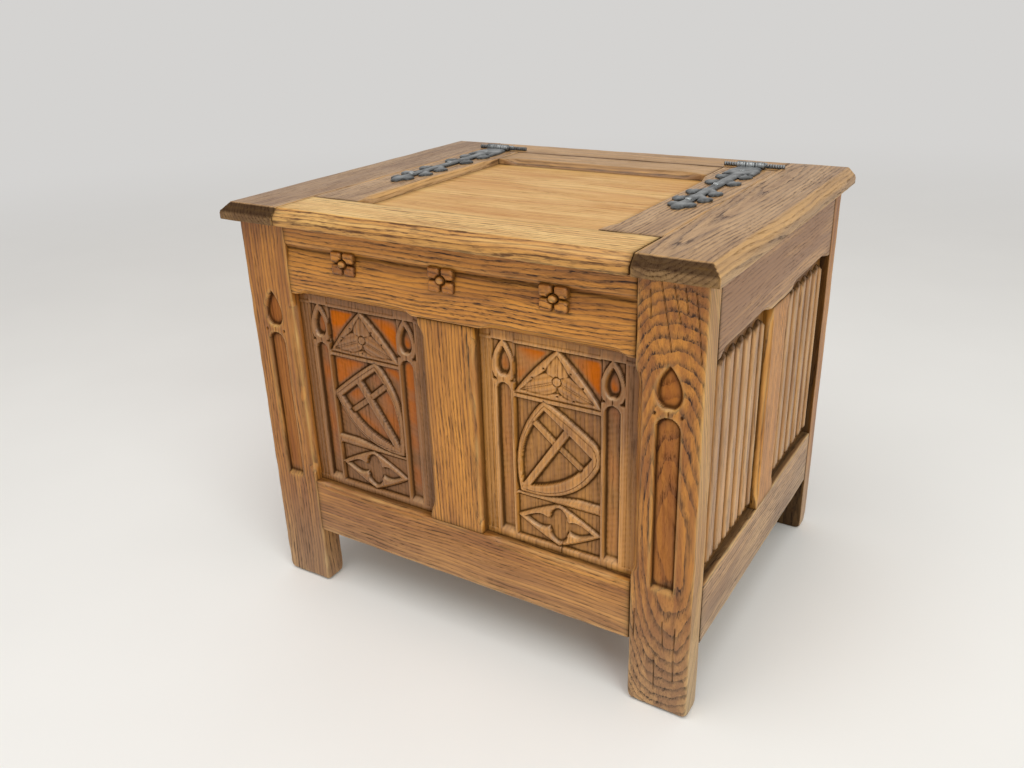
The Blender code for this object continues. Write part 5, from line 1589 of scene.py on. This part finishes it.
def strap_field(s, w):
    """Leafy strap from the knuckle at zero to its tip, in metres: a stem with curled leaves to each side."""
    s = s / MILLIMETRE
    w = w / MILLIMETRE
    shape = capsule(s, w, (0.0, 0.0), (226.0, 0.0), 7.4, 5.8)
    shape = melt(shape, capsule(s, w, (9.0, -10.5), (9.0, 10.5), 6.5, 6.5), 3.0)
    shape = melt(shape, oval(s, w, (26.0, 0.0), 24.0, 19.5), 3.0)
    for side in (-1, 1):
        shape = melt(shape, capsule(s, w, (26.0, side * 14.0), (48.0, side * 17.0), 6.0, 3.6), 2.0)
    for tip, side in LEAF_TIPS:
        leaf = capsule(s, w, (tip - 28.0, side * 3.0), (tip - 13.0, side * 13.0), 4.0, 5.5)
        leaf = melt(leaf, oval(s, w, (tip - 9.0, side * 13.0), 9.0, 5.6), 1.5)
        leaf = melt(leaf, oval(s, w, (tip - 13.0, side * 18.0), 7.5, 4.4), 1.5)
        shape = melt(shape, leaf, 1.5)
    shape = melt(shape, oval(s, w, (233.0, 0.0), 18.0, 8.5), 3.0)
    for side in (-1, 1):
        shape = melt(shape, oval(s, w, (229.0, side * 10.0), 8.5, 6.0), 2.0)
    for place, away in STRAP_HOLES:
        shape = np.maximum(shape, 1.7 - np.hypot((s - place) * 0.6, w - away))
    return shape * MILLIMETRE


def strap_height(s, w, value):
    """Domed leaves with a crease along the stem."""
    dome = 1.0 - np.exp(np.minimum(value, 0.0) / 0.0026)
    crease = np.exp(-(w / 0.0012) ** 2) * smooth((s - 0.05) / 0.02) * smooth((0.24 - s) / 0.03)
    return 0.0017 + 0.0022 * dome - 0.0006 * crease


def plate_field(s, w):
    """Plate behind the knuckles, with shoulders that reach towards the spikes; s runs to the back."""
    s = s / MILLIMETRE
    w = w / MILLIMETRE
    shape = capsule(s, w, (3.0, -12.0), (3.0, 12.0), 6.0, 6.0)
    shape = melt(shape, oval(s, w, (17.0, 0.0), 11.0, 16.0), 3.0)
    shape = melt(shape, capsule(s, w, (14.0, -20.0), (14.0, 20.0), 3.4, 3.4), 2.0)
    return shape * MILLIMETRE


def plate_height(s, w, value):
    """A plate with eased edges."""
    return 0.0016 + 0.0016 * (1.0 - np.exp(np.minimum(value, 0.0) / 0.002))


def lathe(profile, middle, sides=28):
    """Points and faces of a turned form along X, from pairs of a place along it and a radius."""
    points = []
    faces = []
    for place, radius in profile:
        for side in range(sides):
            angle = 2 * math.pi * side / sides
            points.append((middle[0] + place, middle[1] + radius * math.cos(angle),
                           middle[2] + radius * math.sin(angle)))
    for row in range(len(profile) - 1):
        for side in range(sides):
            following = (side + 1) % sides
            faces.append([row * sides + side, row * sides + following,
                          (row + 1) * sides + following, (row + 1) * sides + side])
    faces.append(list(range(sides))[::-1])
    faces.append([(len(profile) - 1) * sides + side for side in range(sides)])
    return np.array(points), [face[::-1] for face in faces]


def knuckle_profile(length):
    """A barrel with eased ends and a fine ring near each."""
    half = length / 2
    ease = 0.0008
    shape = [(-half, BARREL - ease), (-half + ease, BARREL), (-half + 0.0024, BARREL),
             (-half + 0.0028, BARREL - 0.0003), (-half + 0.0032, BARREL)]
    return shape + [(-place, radius) for place, radius in reversed(shape)]


def gathered(pieces):
    """One set of points and faces from several."""
    points = np.concatenate([piece[0] for piece in pieces])
    faces = []
    start = 0
    for piece_points, piece_faces in pieces:
        faces += [[corner + start for corner in face] for face in piece_faces]
        start += len(piece_points)
    return points, faces


def iron_piece(name, points, faces, low, high):
    """An iron piece whose parts above a height are lighter: worn grey, and painted so that its low rims read
    as shaded.
    """
    piece = mesh_object(name, points, faces, IRON, 48)
    lightened = smooth((points[:, 2] - low) / (high - low)) * (0.6 + 0.4 * waves(points, 0.02, 77))
    point_attribute(piece.data, "painted_light_and_wear", np.clip(lightened, 0.0, 1.0))
    return piece


barrel = knuckle_profile(KNUCKLE - KNUCKLE_GAP)
for word, side in LEFT_AND_RIGHT:
    axis = (side * HINGE_X, HINGE_Y, HINGE_Z)
    foot = (side * HINGE_X, HINGE_Y, IRON_FOOT)
    strap = relief_plate(strap_field, (0.0052, -0.025), (0.2585, 0.025), IRON_STEP, strap_height)
    strap = (placed(strap[0], (0, -1, 0), (1, 0, 0), (0, 0, 1), foot), strap[1])
    points, faces = gathered([strap, lathe(barrel, axis)])
    piece = iron_piece(f"{word}_leafy_strap", points, faces, IRON_FOOT + 0.0020, IRON_FOOT + 0.0038)
    dress(piece, "lid", [f"{word}_hinge_strap"])

    plate = relief_plate(plate_field, (0.0054, -0.026), (0.030, 0.026), IRON_STEP, plate_height)
    plate = (placed(plate[0], (0, 1, 0), (-1, 0, 0), (0, 0, 1), foot), plate[1])
    outer = [lathe(barrel, (axis[0] + way * KNUCKLE, axis[1], axis[2])) for way in (-1, 1)]
    points, faces = gathered([plate] + outer)
    piece = iron_piece(f"{word}_knuckle_plate", points, faces, IRON_FOOT + 0.0024, IRON_FOOT + 0.0036)
    dress(piece, "carcass", [f"{word}_hinge_plate"])

    pin_half = 1.5 * KNUCKLE
    head = [(-pin_half - 0.0016, 0.0012), (-pin_half - 0.0012, 0.0026), (-pin_half - 0.0002, 0.0029)]
    profile = head + [(-pin_half, 0.0019)]
    profile = profile + [(-place, radius) for place, radius in reversed(profile)]
    points, faces = lathe(profile, axis)
    piece = iron_piece(f"{word}_pin", points, faces, axis[2], axis[2] + 0.003)
    dress(piece, "carcass", [f"{word}_hinge_pin"])
print("hinge axis", HINGE_X, HINGE_Y, HINGE_Z)

# %% [markdown]
# ## Twisted spikes
#
# The spikes are square bars, drawn out to a point and twisted while hot. The nodes sweep a square along each
# spike with a growing twist, and set two spikes on each plate.

# %% Spikes
SPIKE_LENGTH = 0.021
SPIKE_START = 0.0185
SPIKE_BACK = 0.014
SPIKE_RADIUS = 0.0029
SPIKE_TURNS = 1.6
# Share of its radius at which a spike lies, so that its corners bed a little way into the wood
SPIKE_SEAT = 0.75


def build_spike_tree():
    """Nodes that sweep a pair of spikes and set it on each plate."""
    sockets = (("Length", "NodeSocketFloat"), ("Turns", "NodeSocketFloat"), ("Radius", "NodeSocketFloat"),
               ("Start", "NodeSocketFloat"), ("Material", "NodeSocketMaterial"))
    tree, given, result = new_tree("twisted spikes", sockets)
    far = axis_vector(tree, X=given.outputs["Length"])
    line = add_node(tree, "GeometryNodeCurvePrimitiveLine", {"Start": (0.0, 0.0, 0.0), "End": far})
    fine = add_node(tree, "GeometryNodeResampleCurve", {"Curve": line.outputs[0], "Count": 56})
    share = tree.nodes.new("GeometryNodeSplineParameter").outputs["Factor"]
    taper = math_node(tree, "SUBTRACT", 1.0, math_node(tree, "POWER", share, 1.6))
    taper = math_node(tree, "MULTIPLY_ADD", taper, 0.9, 0.1)
    twist = math_node(tree, "MULTIPLY", given.outputs["Turns"], 2 * math.pi)
    twist = math_node(tree, "MULTIPLY", share, twist)
    sized = add_node(tree, "GeometryNodeSetCurveRadius", {"Curve": fine.outputs[0], "Radius": taper})
    tilted = add_node(tree, "GeometryNodeSetCurveTilt", {"Curve": sized.outputs[0], "Tilt": twist})
    square = add_node(tree, "GeometryNodeCurvePrimitiveCircle", {"Resolution": 4,
                                                                 "Radius": given.outputs["Radius"]})
    swept = add_node(tree, "GeometryNodeCurveToMesh", {"Curve": tilted.outputs[0], "Fill Caps": True,
                                                       "Profile Curve": square.outputs[0]})
    index = tree.nodes.new("GeometryNodeInputIndex").outputs[0]
    half_turn = axis_vector(tree, Z=math_node(tree, "MULTIPLY", index, math.pi))
    start = given.outputs["Start"]
    inward = axis_vector(tree, X=math_node(tree, "MULTIPLY", start, -2.0))
    seats = point_row(tree, 2, inward, axis_vector(tree, X=start))
    both = set_out(tree, seats, swept.outputs[0], Rotation=half_turn)
    return finish_tree(tree, given, result, set_out(tree, given.outputs["Geometry"], both))


spike_height = IRON_FOOT + SPIKE_RADIUS * SPIKE_SEAT
spike_seats = np.array([(side * HINGE_X, HINGE_Y + SPIKE_BACK, spike_height) for side in (-1, 1)])
spikes = run_tree("twisted_spikes", build_spike_tree(), spike_seats, [], {
    "Length": SPIKE_LENGTH, "Turns": SPIKE_TURNS, "Radius": SPIKE_RADIUS, "Start": SPIKE_START,
    "Material": IRON})
spike_points = mesh_points(spikes)
# The spikes are lighter high up: worn grey, with their lower faces painted darker as shade
point_attribute(spikes.data, "painted_light_and_wear", 0.7 * smooth((spike_points[:, 2] - IRON_FOOT - 0.003) / 0.0015))
dress(spikes, "carcass")
print("spikes", len(spikes.data.polygons), "faces")

# %% [markdown]
# ## Screws
#
# Screws with slotted, domed heads hold the straps and plates. They are driven by hand, so their slots end at
# any angle. One head is modelled, and the nodes set it at every hole with a turn of its own.

# %% Screws
SCREW_RADIUS = 0.0038
# The foot of a head lies this far below the top of its screw in the solids
SCREW_HEAD = 0.0019
SCREW_REACH = 0.004
SCREW_STEP = 0.0004


def screw_field(p, q):
    """A disc."""
    return np.hypot(p, q) - SCREW_RADIUS


def screw_height(p, q, value):
    """A domed head, cut by a slot."""
    dome = np.sqrt(np.clip(1.0 - (np.hypot(p, q) / SCREW_RADIUS) ** 2 * 0.92, 0.0, 1.0))
    slot = smooth(1.5 - np.abs(p) / 0.00045)
    return 0.0006 + 0.0017 * dome - 0.0008 * slot


def build_screw_tree():
    """Nodes that set a screw head at each hole with a turn of its own."""
    sockets = (("Head", "NodeSocketObject"), ("Material", "NodeSocketMaterial"))
    tree, given, result = new_tree("screws", sockets)
    head = add_node(tree, "GeometryNodeObjectInfo", {"Object": given.outputs["Head"]})
    turns = {"Min": (0.0, 0.0, 0.0), "Max": (0.0, 0.0, math.pi), "Seed": 4}
    angle = add_node(tree, "FunctionNodeRandomValue", turns, data_type="FLOAT_VECTOR")
    screws = set_out(tree, given.outputs["Geometry"], head.outputs["Geometry"], Rotation=angle.outputs[0])
    return finish_tree(tree, given, result, screws)


screw_tree = build_screw_tree()
head_points, head_faces = relief_plate(screw_field, (-SCREW_REACH, -SCREW_REACH), (SCREW_REACH, SCREW_REACH),
                                       (SCREW_STEP, SCREW_STEP), screw_height)
screw_head = mesh_object("screw_head", head_points, head_faces, IRON)
for body, kind, count in (("lid", "strap", 3), ("carcass", "plate", 2)):
    nodes = [f"{word}_{kind}_screw_{number + 1}" for word, side in LEFT_AND_RIGHT for number in range(count)]
    seats = []
    for node in nodes:
        low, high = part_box(node)
        seats.append(((low[0] + high[0]) / 2, (low[1] + high[1]) / 2, high[2] - SCREW_HEAD))
    screws = run_tree(f"{kind}_screws", screw_tree, np.array(seats), [], {
        "Head": screw_head, "Material": IRON})
    screw_points = mesh_points(screws)
    # The screw heads are lightened all over: worn, and a painted highlight
    point_attribute(screws.data, "painted_light_and_wear", np.full(len(screw_points), 0.9))
    dress(screws, body, nodes)
bpy.data.objects.remove(screw_head)
print("screws set")

# %% [markdown]
# ## Floor, light and camera
#
# The studio is plain: a pale floor, an even white surround and two broad soft lamps, as in a bright white
# room. Far from the chest the floor runs into a pale background, as paper rolled down over a stand does. Only
# rays that look at it see that background, so it adds no light. The camera stands where the photograph was
# taken from.

# %% Stage, light and camera
ROOM_COLOUR = (1.0, 0.985, 0.965, 1.0)
ROOM_STRENGTH = 0.54
BACKGROUND_STRENGTH = 0.66
FLOOR_REACH = 30.0
BLEND_START = 1.1
BLEND_END = 4.0


def looking(tree):
    """One for rays that look, straight or by a reflection or through glass, and zero for those that light."""
    rays = tree.nodes.new("ShaderNodeLightPath").outputs
    either = math_node(tree, "MAXIMUM", rays["Is Camera Ray"], rays["Is Glossy Ray"])
    return math_node(tree, "MAXIMUM", either, rays["Is Transmission Ray"])


def stage_material():
    """A pale floor that runs into the background far from the chest."""
    material = bpy.data.materials.new("pale floor")
    material.use_nodes = True
    tree = material.node_tree
    shader = tree.nodes["Principled BSDF"]
    place = tree.nodes.new("ShaderNodeTexCoord").outputs["Object"]
    cloud = stretched_noise(tree, place, (3.0, 3.0, 3.0), 2.0).outputs[0]
    colour = mix_colour(tree, cloud, linear(238, 235, 231), linear(245, 242, 238))
    tree.links.new(colour, shader.inputs["Base Color"])
    shader.inputs["Roughness"].default_value = 0.6
    away = add_node(tree, "ShaderNodeVectorMath", {0: place}, operation="LENGTH").outputs["Value"]
    far = math_node(tree, "MULTIPLY", ramp(tree, away, BLEND_START, BLEND_END), looking(tree))
    background = add_node(tree, "ShaderNodeEmission", {"Color": ROOM_COLOUR, "Strength": BACKGROUND_STRENGTH})
    blended = add_node(tree, "ShaderNodeMixShader", {0: far, 1: shader.outputs[0], 2: background.outputs[0]})
    tree.links.new(blended.outputs[0], tree.nodes["Material Output"].inputs["Surface"])
    return material


floor_corners = np.array([(-FLOOR_REACH, -FLOOR_REACH, 0.0), (FLOOR_REACH, -FLOOR_REACH, 0.0),
                          (FLOOR_REACH, FLOOR_REACH, 0.0), (-FLOOR_REACH, FLOOR_REACH, 0.0)])
floor = mesh_object("pale_floor", floor_corners, [[0, 1, 2, 3]], stage_material())

world = bpy.data.worlds.new("white room")
bpy.context.scene.world = world
world.use_nodes = True
background = world.node_tree.nodes["Background"]
background.inputs["Color"].default_value = ROOM_COLOUR
added = BACKGROUND_STRENGTH - ROOM_STRENGTH
seen = math_node(world.node_tree, "MULTIPLY_ADD", looking(world.node_tree), added, ROOM_STRENGTH)
world.node_tree.links.new(seen, background.inputs["Strength"])


def soft_lamp(name, place, target, size, power, colour=(1.0, 1.0, 1.0)):
    """A broad square lamp that faces its target."""
    lamp = bpy.data.lights.new(name, "AREA")
    lamp.color = colour
    lamp.shape = "SQUARE"
    lamp.size = size
    lamp.energy = power
    holder = bpy.data.objects.new(name, lamp)
    bpy.context.scene.collection.objects.link(holder)
    holder.location = place
    holder.rotation_euler = (Vector(target) - Vector(place)).to_track_quat("-Z", "Y").to_euler()


soft_lamp("overhead", (0.2, -0.9, 2.5), (0.0, 0.0, 0.3), 2.0, 32.0)
soft_lamp("fill", (3.4, -2.1, 2.2), (0.0, 0.0, 0.1), 2.2, 62.0, (0.87, 1.0, 1.0))

# Where the camera stands, which way it looks and which way is right, fitted to edges in the photograph
EYE = Vector((0.55701, -0.96735, 0.74376))
FORWARD = Vector((-0.493602, 0.771697, -0.401049)).normalized()
RIGHT = Vector((0.849172, 0.527225, -0.030657))
SENSOR = 36.0
LENS = 31.994
RIGHT = (RIGHT - FORWARD * RIGHT.dot(FORWARD)).normalized()
camera_data = bpy.data.cameras.new("camera")
camera_data.sensor_width = SENSOR
camera_data.lens = LENS
camera = bpy.data.objects.new("camera", camera_data)
bpy.context.scene.collection.objects.link(camera)
turn = Matrix((RIGHT, RIGHT.cross(FORWARD), -FORWARD)).transposed().to_4x4()
camera.matrix_world = Matrix.Translation(EYE) @ turn
bpy.context.scene.camera = camera
bpy.context.scene.view_settings.view_transform = "Standard"
print("camera", tuple(round(value, 3) for value in EYE))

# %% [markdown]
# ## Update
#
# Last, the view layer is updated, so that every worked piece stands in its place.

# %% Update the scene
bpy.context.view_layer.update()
